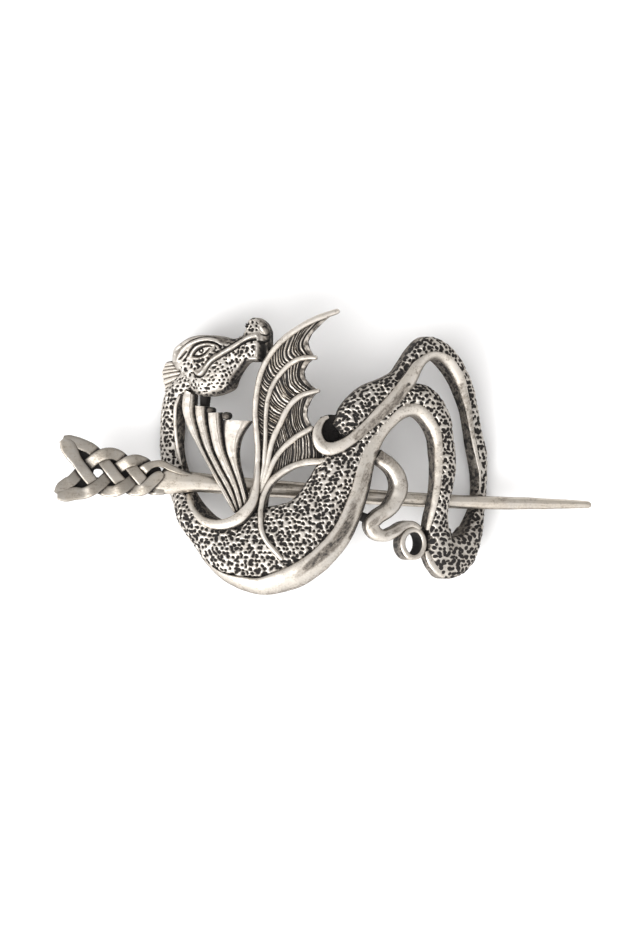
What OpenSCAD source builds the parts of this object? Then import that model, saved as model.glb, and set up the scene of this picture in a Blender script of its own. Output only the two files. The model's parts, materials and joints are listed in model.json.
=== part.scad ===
// Hair stick with an arched dragon slide, two castings in antique silver.
// The slide lies on its two lowest sides, and the stick runs over its neck, under its body
// and over the outer loop of its tail.
//
// The slide is laid out flat, then bent over an arch about the Y axis. A flat point is
// [x, y, height], with the height counted from the line where the domed top meets the walls.

/* [Slide] */
// Radius of the arch that the slide is bent to
arch_radius = 50; // [49:0.5:52]
// Height of the slide's shoulder line above the surface, at the crown of the arch
crown_height = 14.4; // [14.2:0.05:14.5]
// Depth of the casting below its shoulder line
cast_depth = 3; // [2.9:0.05:3.1]
// Greatest height of the body's dome above its shoulder line
body_dome = 2.4; // [2:0.1:2.6]
// Height of the wings' ribs above their shoulders
rib_dome = 0.5; // [0.3:0.1:0.6]
// Height of the wings' webs above the shoulder line
web_height = 0.5; // [0.3:0.1:0.7]
// Depth of the fluted lines in the webs
flute_depth = 0.3; // [0.1:0.1:0.4]

/* [Stick] */
// Height of the stick's axis above the surface, where it meets the neck
stick_height = 7.15; // [7:0.05:7.3]
// Fall of the stick towards its tip, in degrees
stick_fall = 2.1; // [2:0.1:2.2]
// Turn of the stick in plan, in degrees clockwise
stick_turn = 3.3; // [3:0.1:3.6]
// Thickness of the pin at the shoulder
pin_thickness = 2.4; // [2.2:0.1:2.4]
// Width of the plaited strands
plait_width = 2.4; // [2.2:0.1:2.6]
// Thickness of the plaited strands
plait_thickness = 1.5; // [1.3:0.1:1.7]
// How far the plaited strands weave above and below the stick's axis
plait_weave = 0.6; // [0.4:0.1:0.8]

/* [Finish] */
// Colour of the slide's metal
slide_colour = "darkgray"; // [darkgray, silver, gainsboro]
// Colour of the stick's metal
stick_colour = "silver"; // [darkgray, silver, gainsboro]

/* [Hidden] */

// Columns of a strand's table: place in plan, width, heights of the left and right shoulders
// as seen along the strand, and height of the flat back
X = 0;
Y = 1;
W = 2;
LEFT = 3;
RIGHT = 4;
BACK = 5;

back = -cast_depth;
band_back = back + 0.25;
wing_back = -2.2;
rib_foot = wing_back + 0.3;
arm_dome = 0.7;
small_wing_back = -0.8;
end_dome = 0.42; // share of its width by which a round strand is domed
band_dome = 0.3; // the same for the smooth bands
relief_dome = 0.6; // and for the ribs in relief
room = 100; // half the side of the space above the surface

// Neck, body and inner loop of the tail, from the head to the heel
hide_rows = [
    [-26.4, 15.4, 3.8, 0, 0, back],
    [-28.2, 13.6, 3.8, 0, 0, back],
    [-29.8, 12, 3.4, 0, 0, back],
    [-30.7, 9.8, 3, 0, 0, back],
    [-31.1, 7, 3.2, -0.2, -0.2, back],
    [-31.2, 4.2, 3.5, -0.4, -0.4, back],
    [-31.5, 1.4, 3.8, -1, -1, back],
    [-31.3, -1.6, 4.1, -1.4, -1.4, back],
    [-30.5, -4.6, 4.2, -1.6, -1.6, back],
    [-29.7, -7.4, 4.4, -1.6, -1.6, back],
    [-28.4, -10, 4.6, -1, -1, back],
    [-26.8, -12.6, 5.3, 0, 0, back],
    [-24.3, -15.5, 6.4, 0, 0, back],
    [-20.9, -18.2, 9.2, 0, 0, back],
    [-16.8, -20, 12.4, 0, 0, back],
    [-12.4, -19.8, 16.4, 0, 0, back],
    [-7.7, -18.8, 17.2, 0, 0, back],
    [-3.1, -16, 15.2, 0, 0, back],
    [-0.2, -12.5, 13.2, 0, 0, back],
    [2, -8.3, 12, 0, 0, back],
    [3.8, -4.3, 10.8, 0, 0, back],
    [5.8, -0.7, 8.8, -0.2, -0.2, back],
    [8, 2.5, 7, -0.4, -0.4, back],
    [10.6, 5.9, 6, -0.4, -0.4, back],
    [13.5, 9, 5.2, -0.2, -0.2, back],
    [16.5, 11, 5.2, 0, 0, back],
    [19.3, 10.8, 5.4, 0.2, 0.2, back],
    [21.3, 8.9, 5.1, 0.4, 0.4, back],
    [22.7, 6.3, 4.6, 0.6, 0.6, back + 0.4],
    [23.2, 3.4, 4.2, 0.8, 0.8, back + 0.8],
    [23.5, 0, 4.35, 0.9, 0.9, back + 1.2],
    [23.6, -3.6, 4.2, 1, 1, back + 1.5],
    [23.2, -7.4, 3.8, 1, 1, back + 1.6],
    [22.7, -10.8, 3.5, 0.9, 0.9, back + 1.3],
    [22.5, -14, 3.9, 0.5, 0.5, back + 0.6],
    [23, -17.4, 4.6, 0, 0, back],
    [23.7, -20, 4.6, 0, 0, back],
    [25.4, -21.7, 4.4, 0, 0, back]
];

// Outer loop of the tail, from the heel round to the crest over the body
outer_rows = [
    [26, -21.9, 4.2, 0, 0, back],
    [27.9, -20.9, 4.3, 0, 0, back],
    [28.9, -18.6, 4.2, 0, 0, back],
    [30.4, -15, 3.2, -0.2, -0.2, back],
    [31.6, -11.8, 2.3, -0.8, -0.8, back - 0.2],
    [32.1, -8.2, 2, -0.8, -0.8, back - 0.2],
    [32, -4.6, 1.9, -0.4, -0.4, back - 0.2],
    [31.5, 0, 2.2, 0, 0, back + 0.3],
    [30.4, 4.4, 2.3, 0, 0, back + 0.7],
    [29.6, 8.5, 2.5, 0, 0, back + 0.7],
    [28.5, 12.3, 3, 0, 0, back + 0.3],
    [27, 15.7, 3.4, 0, 0, back],
    [25.2, 18.3, 3.8, 0, 0, back],
    [23, 20.3, 4.1, 0, 0, back],
    [20.7, 20.9, 4.3, 0, 0, back],
    [18.7, 19.2, 4.2, 0, 0, back],
    [16.9, 16.8, 4, 0, 0, back],
    [15.2, 14.3, 4.4, 0, 0, back],
    [12.5, 11.9, 6.2, 0, 0, back],
    [9.5, 9.8, 7.8, 0, 0, back],
    [6.8, 7.3, 8, 0, 0, back],
    [4.8, 5.2, 6.8, 0, 0, back],
    [3, 3.8, 4.4, -0.6, -0.6, back]
];

// Smooth band on the belly, which runs on along the inside of the inner loop
belly_rows = [
    [-24.6, -20.9, 0.5, 0.2, -0.4, band_back],
    [-22.4, -23.1, 0.9, 0.9, -0.2, band_back],
    [-19.6, -25, 1.7, 1.6, 0, band_back],
    [-16.2, -26.2, 2.7, 2, 0, band_back],
    [-12.4, -26.8, 3.5, 2.2, 0, band_back],
    [-8.6, -25.9, 4.2, 2.3, 0, band_back],
    [-5, -24.4, 4.6, 2.3, 0, band_back],
    [-1.6, -22.2, 4.6, 2.3, 0, band_back],
    [1.2, -19.4, 4.5, 2.3, 0, band_back],
    [3.4, -16.6, 4.3, 2.3, 0, band_back],
    [5, -13.4, 4.1, 2.3, 0, band_back],
    [6.4, -9.8, 3.9, 2.2, 0.1, band_back],
    [7.4, -6.4, 3.7, 2, 0.2, band_back],
    [8.05, -3.2, 3.5, 1.7, 0.3, band_back],
    [9.1, 0, 3.2, 1.4, 0.4, band_back],
    [10.3, 2.4, 2.8, 1.2, 0.4, band_back],
    [11.7, 4.4, 2.5, 1.2, 0.4, band_back],
    [13.6, 6.4, 2.3, 1.3, 0.5, band_back],
    [15.6, 8, 2.7, 1.5, 0.6, band_back],
    [17.4, 8.4, 2.6, 1.7, 0.7, band_back],
    [18.9, 7.9, 2.3, 1.8, 0.8, band_back],
    [20.3, 6.4, 1.9, 1.9, 0.9, band_back + 0.2],
    [21.4, 4.3, 1.7, 2.1, 1.1, band_back + 0.6],
    [22, 1.6, 1.5, 2.2, 1.3, band_back + 1],
    [22.1, -1.6, 1.4, 2.3, 1.4, band_back + 1.3],
    [22, -4.4, 1.3, 2.3, 1.4, band_back + 1.5],
    [21.7, -7.4, 1.1, 2.2, 1.4, band_back + 1.6],
    [21.3, -10.2, 1, 2, 1.2, band_back + 1.4],
    [20.85, -12.8, 0.9, 1.6, 0.8, band_back + 0.8],
    [20.5, -15.6, 0.7, 0.8, 0.4, band_back + 0.3]
];

// Smooth band of the outer loop: from its fading end, over the top and down over the body,
// round the hollow to the hook's tip
crest_rows = [
    [31.2, -4.6, 0.5, 0.4, 0.4, band_back],
    [30.6, -1.6, 0.9, 0.5, 0.7, band_back + 0.2],
    [30, 1.4, 1.1, 0.5, 0.9, band_back + 0.4],
    [29.3, 5, 1.2, 0.5, 1, band_back + 0.7],
    [28.6, 8.4, 1.2, 0.5, 1.1, band_back + 0.7],
    [27.7, 11.6, 1.4, 0.5, 1.3, band_back + 0.3],
    [26.7, 14.4, 1.6, 0.5, 1.5, band_back],
    [25.5, 16.6, 1.7, 0.5, 1.6, band_back],
    [24.2, 18.2, 1.7, 0.5, 1.7, band_back],
    [22.7, 19.1, 1.6, 0.5, 1.7, band_back],
    [21, 19.2, 1.7, 0.6, 1.8, band_back],
    [19.4, 18.3, 2, 0.7, 1.9, band_back],
    [18, 16.8, 2.6, 0.8, 2, band_back],
    [16.7, 14.6, 3.1, 0.9, 2.1, band_back],
    [15, 12.2, 3.3, 1, 2.2, band_back],
    [13, 9.8, 3.2, 1.1, 2.3, band_back],
    [11, 7.8, 3, 1.2, 2.4, band_back],
    [9, 5.8, 2.6, 1.4, 2.4, band_back],
    [7, 4, 2.3, 1.6, 2.4, band_back],
    [5, 2.3, 2.2, 1.8, 2.4, band_back],
    [3, 1.1, 2.4, 2, 2.2, band_back],
    [1.2, 0.6, 2.7, 1.9, 1.9, band_back],
    [-0.3, 1.1, 2.6, 1.7, 1.7, band_back],
    [-1.1, 2.4, 2.3, 1.6, 1.6, band_back],
    [-1.3, 4, 1.8, 1.5, 1.5, band_back],
    [-0.9, 5.4, 1.5, 1.3, 1.3, band_back],
    [-0.1, 6.5, 1.1, 1, 1, band_back],
    [0.9, 7, 0.6, 0.7, 0.7, band_back]
];

// Curl that leaves the belly band and winds down to the ring
curl_rows = [
    [10.6, -0.8, 3.0, -0.2, -0.2, back],
    [12.8, -2.3, 3.0, -0.2, -0.2, back],
    [14.2, -3.8, 3.1, -0.1, -0.1, back],
    [15.0, -5.8, 3.2, 0, 0, back],
    [15.0, -7.8, 3.2, 0, 0, back],
    [14.2, -9.8, 3.1, 0, 0, back],
    [12.8, -11.6, 3.0, 0, 0, back],
    [10.8, -12.9, 3.0, 0, 0, back],
    [9.5, -14.4, 3.1, 0, 0, back],
    [10.2, -16.0, 2.8, 0, 0, back],
    [12.0, -16.7, 2.4, 0, 0, back],
    [14.0, -16.0, 2.3, 0.1, 0.1, back],
    [15.8, -14.8, 1.9, 0.2, 0.2, back],
    [17.6, -14.5, 1.4, 0.3, 0.3, back],
    [19.0, -15.4, 1.1, 0.4, 0.4, back]
];

// Arm band across the root of the wing, from the neck to the wing's fingers
arm_rows = [
    [-27.2, -8.4, 1.0, -0.3, -0.3, -1.4],
    [-26.4, -10.2, 1.2, 0.6, 0.6, 0],
    [-25.2, -12.2, 1.4, 1.2, 1.2, 0],
    [-23.4, -13.8, 1.6, 1.6, 1.6, 0],
    [-21.0, -14.5, 1.9, 1.9, 1.9, 0],
    [-18.6, -14.3, 2.1, 2.1, 2.1, 0],
    [-16.6, -13.4, 2.2, 2.1, 2.1, 0],
    [-15.2, -12.0, 2.2, 1.9, 1.9, rib_foot],
    [-14.0, -10.2, 1.9, 1.5, 1.5, rib_foot],
    [-13.4, -8.0, 1.6, 1.1, 1.1, rib_foot],
    [-13.1, -5.2, 1.1, 0.7, 0.7, rib_foot]
];

// Columns of a rib's table: place in plan and width
// Fingers of the large wing, from their roots to their tips
fingers = [
    [
        [-14.6, -9.6, 1.0], [-13.5, -5.6, 1.0], [-13.1, 0.4, 1.0], [-13.6, 8.2, 1.0],
        [-12.9, 14.2, 0.9], [-11.4, 18.2, 0.9], [-9.2, 21.3, 0.9], [-5.8, 24.2, 0.9],
        [-1.8, 26.4, 0.9], [3.0, 28.2, 0.8]
    ],
    [
        [-14.6, -10.4, 1.0], [-13.0, -7.6, 0.9], [-12.0, -3.6, 0.8], [-11.6, 1.4, 0.8],
        [-11.4, 8.2, 0.8], [-10.4, 12.8, 0.8], [-7.8, 16.6, 0.8], [-4.8, 18.6, 0.8],
        [-1.3, 18.8, 0.8]
    ],
    [
        [-12.4, -7.4, 0.9], [-11.2, -2.6, 0.9], [-10.2, 2.2, 1.0], [-8.6, 5.8, 1.0],
        [-7.1, 8.8, 1.0], [-4.6, 11.2, 1.0], [-0.8, 12.3, 0.8]
    ],
    [
        [-12.6, -8.2, 0.9], [-11.2, -5.0, 0.8], [-9.8, -1.6, 0.8], [-8.0, 0.8, 0.8],
        [-5.2, 3.2, 1.0], [-2.0, 4.9, 1.0]
    ],
    [
        [-12.2, -12.6, 1.0], [-11.9, -9.0, 1.1], [-10.7, -6.2, 1.2], [-8.2, -4.0, 1.2],
        [-5.0, -2.4, 1.2], [0, -1.8, 1.2]
    ]
];

// Depth of the hollow cut into the free edge of each web, as a share of its length. The last
// one bulges, and ends under the hook.
web_scallops = [0.085, 0.085, 0.09, -0.03];
web_rows = 10; // rows of the webs, two to each flute
web_cells = 5; // cells of a web from one finger to the next
web_sag = 0.2; // how far a web sags between its fingers
web_reach = 0.985; // share of its fingers' length that a web runs along

// Whip of the lowest finger, which lies on over the body
whip_rows = [
    [-11.7, -8.0, 1.1, 0.8, 0.8, rib_foot],
    [-12.1, -10.4, 1.1, 1.2, 1.2, 0],
    [-12.2, -12.8, 1.0, 1.8, 1.8, 0],
    [-11.9, -15.6, 1.0, 2.2, 2.2, 0],
    [-11.0, -17.7, 1.0, 2.4, 2.4, 0],
    [-9.4, -19.7, 1.0, 2.4, 2.4, 0],
    [-7.8, -21.6, 1.0, 2.2, 2.2, 0]
];

// Lines between the lobes of the small wing, from its root to its top edge
small_lines = [
    [[-17.8, -12.2], [-19.6, -9.4], [-22.2, -4.4], [-25.0, 0.8], [-27.4, 5.4], [-28.4, 9.2], [-28.0, 12.8]],
    [[-17.2, -12.0], [-19.0, -8.2], [-21.8, -3.2], [-24.0, 1.4], [-25.2, 5.4], [-25.7, 8.0], [-25.6, 11.4]],
    [[-16.8, -11.6], [-18.2, -7.2], [-20.4, -3.0], [-22.0, 0.6], [-22.9, 4.2], [-23.3, 6.6], [-23.4, 9.1]],
    [[-15.8, -11.0], [-17.0, -6.6], [-18.5, -2.6], [-19.6, 0.4], [-20.2, 3.6], [-20.4, 6.0], [-20.5, 7.9]],
    [[-15.0, -9.6], [-16.0, -5.8], [-16.8, -2.6], [-17.0, 0], [-16.6, 2.4], [-15.6, 4.4], [-14.2, 6.2]]
];
lobe_profile = [0, 0.5, 0.6, 0.5, 0];
small_scallops = [0, 0, 0.04, 0.05];

// Outline of the head, clockwise from the back of the skull
head_outline = [
    [-30.2, 18.0], [-29.8, 20.6], [-28.4, 22.0], [-26.6, 23.0], [-24.4, 23.4], [-21.6, 23.2],
    [-18.8, 22.6], [-16.8, 23.0], [-15.6, 24.4], [-15.2, 25.9], [-14.3, 26.8], [-12.8, 26.5],
    [-11.5, 25.4], [-10.9, 23.9], [-10.6, 21.6], [-11.0, 19.3], [-11.9, 18.2], [-13.0, 17.9],
    [-15.2, 17.9], [-16.7, 16.4], [-17.8, 14.6], [-18.6, 12.7], [-20.2, 11.8], [-22.4, 11.2],
    [-24.6, 11.2], [-26.2, 12.2], [-27.4, 14.4], [-28.8, 16.0]
];
head_ridge = [[-25.4, 17.0], [-13.4, 21.8]];

// Outline of the hollow's floor between the hook and the crest
hollow_outline = [
    [-1.4, 5.6], [0, 7.2], [2.0, 7.4], [4.4, 6.8], [5.0, 4.2], [4.4, 1.8], [2.0, 1.0], [-0.6, 1.8]
];
hollow_ridge = [[1.0, 4.2], [3.0, 4.2]];
hollow_top = -0.8;

// Outline of the heel where the tail turns back, clockwise from its inner corner
heel_outline = [
    [25.3, -16.9], [27.2, -16.4], [28.8, -14.9], [31.3, -15.0], [31.1, -18.0], [30.4, -20.6],
    [29.2, -22.8], [27.8, -24.2], [26.4, -25.0], [24.8, -25.4], [23.2, -25.0], [22.0, -23.6],
    [20.8, -21.4], [20.6, -19.0], [20.9, -16.2], [22.8, -14.8], [24.9, -15.2]
];
heel_ridge = [[24.4, -20.4], [27.6, -20.4]];
heel_dome = 1.6;

// Ribs in relief on the head: brow, mouth line, lower eyelid and lip
face_ribs = [
    [
        [-29.6, 18.4, 0.6, 0.4, 0.4, 0], [-28.6, 20.2, 0.9, 0.9, 0.9, 0], [-26.4, 21.9, 1.0, 1.1, 1.1, 0],
        [-23.8, 22.4, 1.0, 1.2, 1.2, 0], [-20.6, 21.9, 1.0, 1.4, 1.4, 0], [-17.6, 20.9, 0.6, 1.7, 1.7, 0]
    ],
    [
        [-26.2, 16.4, 0.5, 2.0, 2.0, 0], [-25.2, 15.2, 0.8, 2.0, 2.0, 0], [-23.9, 16.2, 0.8, 2.3, 2.3, 0],
        [-22.8, 18.4, 0.8, 2.4, 2.4, 0], [-20.8, 19.8, 0.8, 2.5, 2.5, 0], [-18.4, 21.0, 0.8, 2.2, 2.2, 0],
        [-16.4, 22.6, 0.8, 2.0, 2.0, 0], [-13.4, 23.5, 0.6, 2.0, 2.0, 0]
    ],
    [
        [-26.4, 19.4, 0.4, 1.9, 1.9, 0], [-24.9, 18.9, 0.6, 2.1, 2.1, 0], [-22.9, 20.4, 0.4, 1.9, 1.9, 0]
    ],
    [
        [-12.8, 24.2, 0.7, 1.9, 1.9, 0], [-12.4, 21.4, 0.8, 2.0, 2.0, 0], [-12.6, 18.4, 0.6, 1.0, 1.0, 0]
    ]
];

// Lines of the ear fin, from its root to its free edge
ear_lines = [
    [[-27.4, 14.4], [-29.6, 13.2], [-31.6, 11.9]],
    [[-27.4, 15.2], [-29.8, 14.5], [-31.9, 13.8]],
    [[-27.2, 16.6], [-30.0, 16.4], [-32.2, 16.1]],
    [[-27.2, 18.2], [-29.8, 18.4], [-31.6, 17.7]]
];
ear_profile = [0.5, 0.9, 0.5, 0.9, 0.5];
ear_back = -1.6;
ear_scallops = [0, 0, 0];

// Round bosses in relief: place in plan, height of the centre and radius
bosses = [
    [-24.6, 20.3, 1.8, 0.7],
    [-12.2, 24.9, 1.5, 0.9],
    [-13.6, 25.8, 1.0, 0.8],
    [-22.7, 8.3, 0, 0.7],
    [-19.5, 7.2, 0, 0.8]
];
boss_root = -1.2; // height down to which a boss is carried

// Open mouth at the end of the snout, as a round-ended groove: its two ends, height and radius
mouth = [[-11.3, 21.4], [-11.9, 18.6]];
mouth_height = 1.5;
mouth_r = 1.0;

// Thin rim along the neck's inner edge, and smooth rim round the foot of the heel
rim_rows = [
    [
        [-28.6, 11.6, 0.5, 0.4, 0.4, -1], [-29.3, 9.4, 0.7, 0.6, 0.6, -1], [-29.6, 6.8, 0.7, 0.4, 0.4, -1],
        [-29.6, 3.6, 0.7, 0.1, 0.1, -1.2], [-29.5, 0.4, 0.7, -0.4, -0.4, -1.5],
        [-29.1, -2.6, 0.5, -0.8, -0.8, -2]
    ],
    [
        [20.4, -19.8, 1.0, 0.3, 0.3, -2], [20.9, -21.2, 1.5, 0.6, 0.6, -2], [21.9, -22.9, 1.8, 0.8, 0.8, -2],
        [23.4, -24.2, 1.7, 0.7, 0.7, -2], [25.2, -24.8, 1.0, 0.4, 0.4, -2]
    ]
];

// Low links hidden in shadow: jaw to small wing, and belly to curl
link_rows = [
    [[-24.5, 12.6, 1.5, -0.9, -0.9, back], [-24.5, 8.4, 1.5, -0.9, -0.9, -2]],
    [[5.6, -12.0, 1.8, -0.6, -0.6, back], [10.0, -13.8, 1.8, -0.6, -0.6, band_back]]
];

// The small ring at the end of the curl
ring_centre = [17.7, -18.3];
ring_radii = [2.15, 2.75];
ring_w = 1.1;
ring_back = -4.0;
ring_height = 0.4;
ring_steps = 18;

// The stick's own frame has its origin where the pin meets the neck, and +X towards its tip
stick_origin = [-26.8, -6.0];

// Columns of the pin's table: place along and across the axis, width and thickness
ALONG = 0;
ACROSS = 1;
WIDE = 2;
THICK = 3;
pin_rows = [
    [-7.4, -1.6, 1.6, 1.2],
    [-6.4, -0.9, 3.4, 1.7],
    [-5.2, 0, 5.4, 2.1],
    [-3.8, 0.15, 5.6, 2.3],
    [-2.4, 0, 4.8, pin_thickness],
    [-0.6, 0, 4.2, pin_thickness],
    [2, 0, 3.9, pin_thickness],
    [8, -0.2, 3.6, pin_thickness],
    [19, -0.4, 3.4, 2.35],
    [38, -0.9, 3.0, 2.3],
    [56, -0.8, 2.7, 2.2],
    [68, -0.4, 2.4, 2.1],
    [75, -0.1, 1.9, 1.8],
    [79.6, 0, 1.3, 1.2],
    [80.6, 0, 0.7, 0.6]
];
pin_sides = 14;
pin_ridge = 0.12; // how far the pin's rounding is drawn out to a ridge

// The plait has four strands. A strand is at its middle, going down, at each fourth turn.
plait_strands = 4;
plait_step = 0.25;
plait_edge = 0.35; // height of a strand's rounded top, as a share of its thickness
// Start of each strand in the fish tail: place along and across, width and height of its middle
fin_rows = [
    [[-26.0, 7.1, 1.6, 0.2], [-25.0, 5.9, 3.1, 0.2], [-24.0, 4.4, 3.0, 0.3]],
    [[-26.0, 7.1, 1.6, 0.1], [-25.0, 6.8, 2.6, 0.1], [-23.1, 6.5, 2.5, 0]],
    [[-26.4, -4.0, 1.6, 0], [-25.6, -2.8, 2.6, 0], [-24.6, -1.7, 2.5, 0]],
    [[-26.4, -4.2, 1.6, 0.1], [-25.0, -4.1, 2.7, 0.1], [-23.0, -3.6, 2.7, 0.1]]
];
// Turns at which each strand joins the plait and leaves it
joins = [-0.2, 0.05, -0.3, 0.05];
leaves = [2.05, 2.3, 2.7, 2.45];
// End of each strand: over the shoulder's upper edge, on top of it, into its lower edge, and under
end_rows = [
    [
        [-9.2, 2.1, 2.0, 0.5], [-7.8, 3.0, 1.5, 0.5], [-6.0, 3.3, 1.4, 0.5], [-3.8, 2.5, 1.3, 0.5],
        [-1.6, 1.7, 0.9, 0.6]
    ],
    [[-8.1, -0.9, 2.4, 0.7], [-7.0, 0.3, 2.4, 0.8], [-6.1, 1.1, 1.9, 0.8], [-5.7, 1.5, 1.0, 0.8]],
    [[-6.8, -2.0, 2.0, -0.1], [-5.2, -1.8, 2.0, 0]],
    [[-8.0, 2.2, 2.0, -0.6]]
];
// Floor behind the strands, which leaves one hole open, and the heights of its two faces
floor_outline = [
    [-24.6, 6.1], [-21.6, 5.0], [-18.5, 4.4], [-15.6, 3.9], [-12.9, 3.4], [-10.5, 3.0], [-8.2, 2.6],
    [-6.0, 2.3], [-6.0, -1.5], [-8.2, -1.6], [-10.5, -1.6], [-12.9, -1.8], [-15.6, -2.0], [-18.5, -2.2],
    [-21.6, -2.6], [-24.2, -3.8], [-25.6, -3.5], [-24.4, -1.5], [-22.9, 0.6], [-23.4, 2.8], [-24.6, 4.8]
];
floor_hole = [[-19.4, 0], [-19.3, 1.3], [-18.1, 1.5], [-17.5, 0.8], [-18.3, -0.1]];
floor_heights = [-1.3, -0.5];

// Flat point [x, y, height] laid on the arch
function arched(p) =
    let (stretch = 1 + p[2] / arch_radius)
    [
        p[0] * stretch,
        p[1],
        sqrt(arch_radius ^ 2 - p[0] ^ 2) * stretch - arch_radius + crown_height
    ];

// Smooth curve through the rows of a table, with each span cut into steps
function curve(a, b, c, d, t) =
    (2 * b + (c - a) * t + (2 * a - 5 * b + 4 * c - d) * t ^ 2 + (3 * b - a - 3 * c + d) * t ^ 3) / 2;
function row(rows, i) = rows[max(0, min(len(rows) - 1, i))];
function smooth(rows, steps) = [
    for (i = [0 : len(rows) - 2], k = [0 : steps - 1])
        curve(row(rows, i - 1), rows[i], rows[i + 1], row(rows, i + 2), k / steps),
    rows[len(rows) - 1]
];

// Point a share t of the way along a path
function along(path, t) =
    let (s = t * (len(path) - 1), i = min(floor(s), len(path) - 2))
    path[i] + (path[i + 1] - path[i]) * (s - i);

// Sideways direction of a path at one of its points, to the right of the way it runs
function sideways(path, i) =
    let (d = row(path, i + 1) - row(path, i - 1), l = norm([d[X], d[Y]]))
    [d[Y] / l, -d[X] / l];

// Cross-section of a strand: a dome over the two shoulders, walls and a back, chamfered or square
function section(r, dome, arc, chamfered) =
    let (half = r[W] / 2, foot = min(0.45, 0.25 * r[W], 0.3 * (min(r[LEFT], r[RIGHT]) - r[BACK])))
    [
        for (k = [0 : arc])
            let (a = 180 * k / arc, s = (1 - cos(a)) / 2)
            [-half * cos(a), r[LEFT] * (1 - s) + r[RIGHT] * s + dome * sin(a)],
        if (chamfered)
            each [
                [half, r[BACK] + foot],
                [half - foot, r[BACK]],
                [foot - half, r[BACK]],
                [-half, r[BACK] + foot]
            ],
        if (!chamfered)
            each [[half, r[BACK]], [-half, r[BACK]]]
    ];

// Triangles of a tube of rings, each with n points, closed in a loop or by two end caps
function tube_faces(rings, n, closed) = [
    for (i = [0 : rings - (closed ? 1 : 2)], j = [0 : n - 1])
        let (a = i * n, b = (i + 1) % rings * n, k = (j + 1) % n)
        each [[a + j, b + j, b + k], [a + j, b + k, a + k]],
    if (!closed)
        for (k = [1 : n - 2])
            each [[0, k, k + 1], [(rings - 1) * n, (rings - 1) * n + k + 1, (rings - 1) * n + k]]
];

// Strand of the casting along a table's rows, laid on the arch
module strand(rows, dome = end_dome, dome_limit = body_dome, steps = 2, arc = 6, chamfered = true) {
    path = smooth(rows, steps);
    points = [
        for (i = [0 : len(path) - 1])
            let (side = sideways(path, i), r = path[i])
            for (q = section(r, min(dome * r[W], dome_limit), arc, chamfered))
                arched([r[X] + side[0] * q[0], r[Y] + side[1] * q[0], q[1]])
    ];
    polyhedron(points, tube_faces(len(path), arc + (chamfered ? 5 : 3), false));
}

// Relief on the casting: a narrow strand whose foot is sunk into the metal below
module relief(rows, dome_limit = rib_dome, steps = 1) {
    strand(rows, relief_dome, dome_limit, steps, arc = 3, chamfered = false);
}

// Rib of a wing, with its shoulders at web height
module rib(rows) {
    relief([for (r = rows) [r[X], r[Y], r[W], web_height, web_height, rib_foot]], steps = 2);
}

// Sheet across lines that run side by side, from the left one to the right one. The profile
// gives its height from each line to the next, a scallop hollows its far edge between them, and
// every other row is sunk by the depth of the flutes that cross it. It ends at the share of the
// lines' length that it reaches.
module sheet(lines, profile, foot, scallops, rows, flutes = 0, reach = 1) {
    paths = [for (line = lines) smooth(line, 3)];
    spans = len(lines) - 1;
    cells = len(profile) - 1;
    n = spans * cells + 1;
    flat = [
        for (i = [0 : rows], j = [0 : n - 1])
            let (
                k = min(floor(j / cells), spans - 1),
                s = (j - k * cells) / cells,
                t = i / rows * (reach - scallops[k] * sin(180 * s)),
                p = along(paths[k], t),
                q = along(paths[k + 1], t)
            )
            [p[X] * (1 - s) + q[X] * s, p[Y] * (1 - s) + q[Y] * s, profile[j - k * cells] - (i % 2) * flutes]
    ];
    count = len(flat);
    points = [for (p = flat) arched(p), for (p = flat) arched([p[X], p[Y], foot])];
    top = [
        for (i = [0 : rows - 1], j = [0 : n - 2])
            let (k = i * n + j)
            each [[k, k + n, k + n + 1], [k, k + n + 1, k + 1]]
    ];
    edge = [
        for (j = [0 : n - 1]) j,
        for (i = [1 : rows]) i * n + n - 1,
        for (j = [n - 2 : -1 : 0]) rows * n + j,
        for (i = [rows - 1 : -1 : 1]) i * n
    ];
    walls = [
        for (k = [0 : len(edge) - 1])
            let (a = edge[k], b = edge[(k + 1) % len(edge)])
            each [[a, b, b + count], [a, b + count, a + count]]
    ];
    polyhedron(points, [each top, for (f = top) [f[2] + count, f[1] + count, f[0] + count], each walls]);
}

// Place on a segment that lies nearest to a point
function nearest(p, ridge) =
    let (d = ridge[1] - ridge[0], t = ((p - ridge[0]) * d) / (d * d))
    ridge[0] + d * max(0, min(1, t));

// Domed pad over an outline, highest along a ridge
module pad(outline, ridge, dome, lift = 0, foot = back, arc = 5) {
    n = len(outline);
    // Size of each ring as a share of the outline, and its height
    levels = [
        [0.15, foot], [0.94, foot], [1, foot + 0.4],
        for (k = [0 : arc - 1]) [cos(90 * k / arc), lift + dome * sin(90 * k / arc)]
    ];
    middle = (ridge[0] + ridge[1]) / 2;
    points = [
        for (level = levels, p = outline)
            let (c = nearest(p, ridge), q = c + (p - c) * level[0])
            arched([q[X], q[Y], level[1]]),
        arched([middle[X], middle[Y], foot]),
        arched([middle[X], middle[Y], lift + dome])
    ];
    top = (len(levels) - 1) * n;
    low_tip = len(levels) * n;
    faces = [
        for (i = [0 : len(levels) - 2], j = [0 : n - 1])
            let (a = i * n, b = (i + 1) * n, k = (j + 1) % n)
            each [[a + j, b + k, b + j], [a + j, a + k, b + k]],
        for (j = [0 : n - 1])
            let (k = (j + 1) % n)
            each [[low_tip, k, j], [low_tip + 1, top + j, top + k]]
    ];
    polyhedron(points, faces);
}

// Ball on the arch
module ball(p, height, r) {
    translate(arched([p[X], p[Y], height])) sphere(r, $fn = 6);
}

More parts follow.
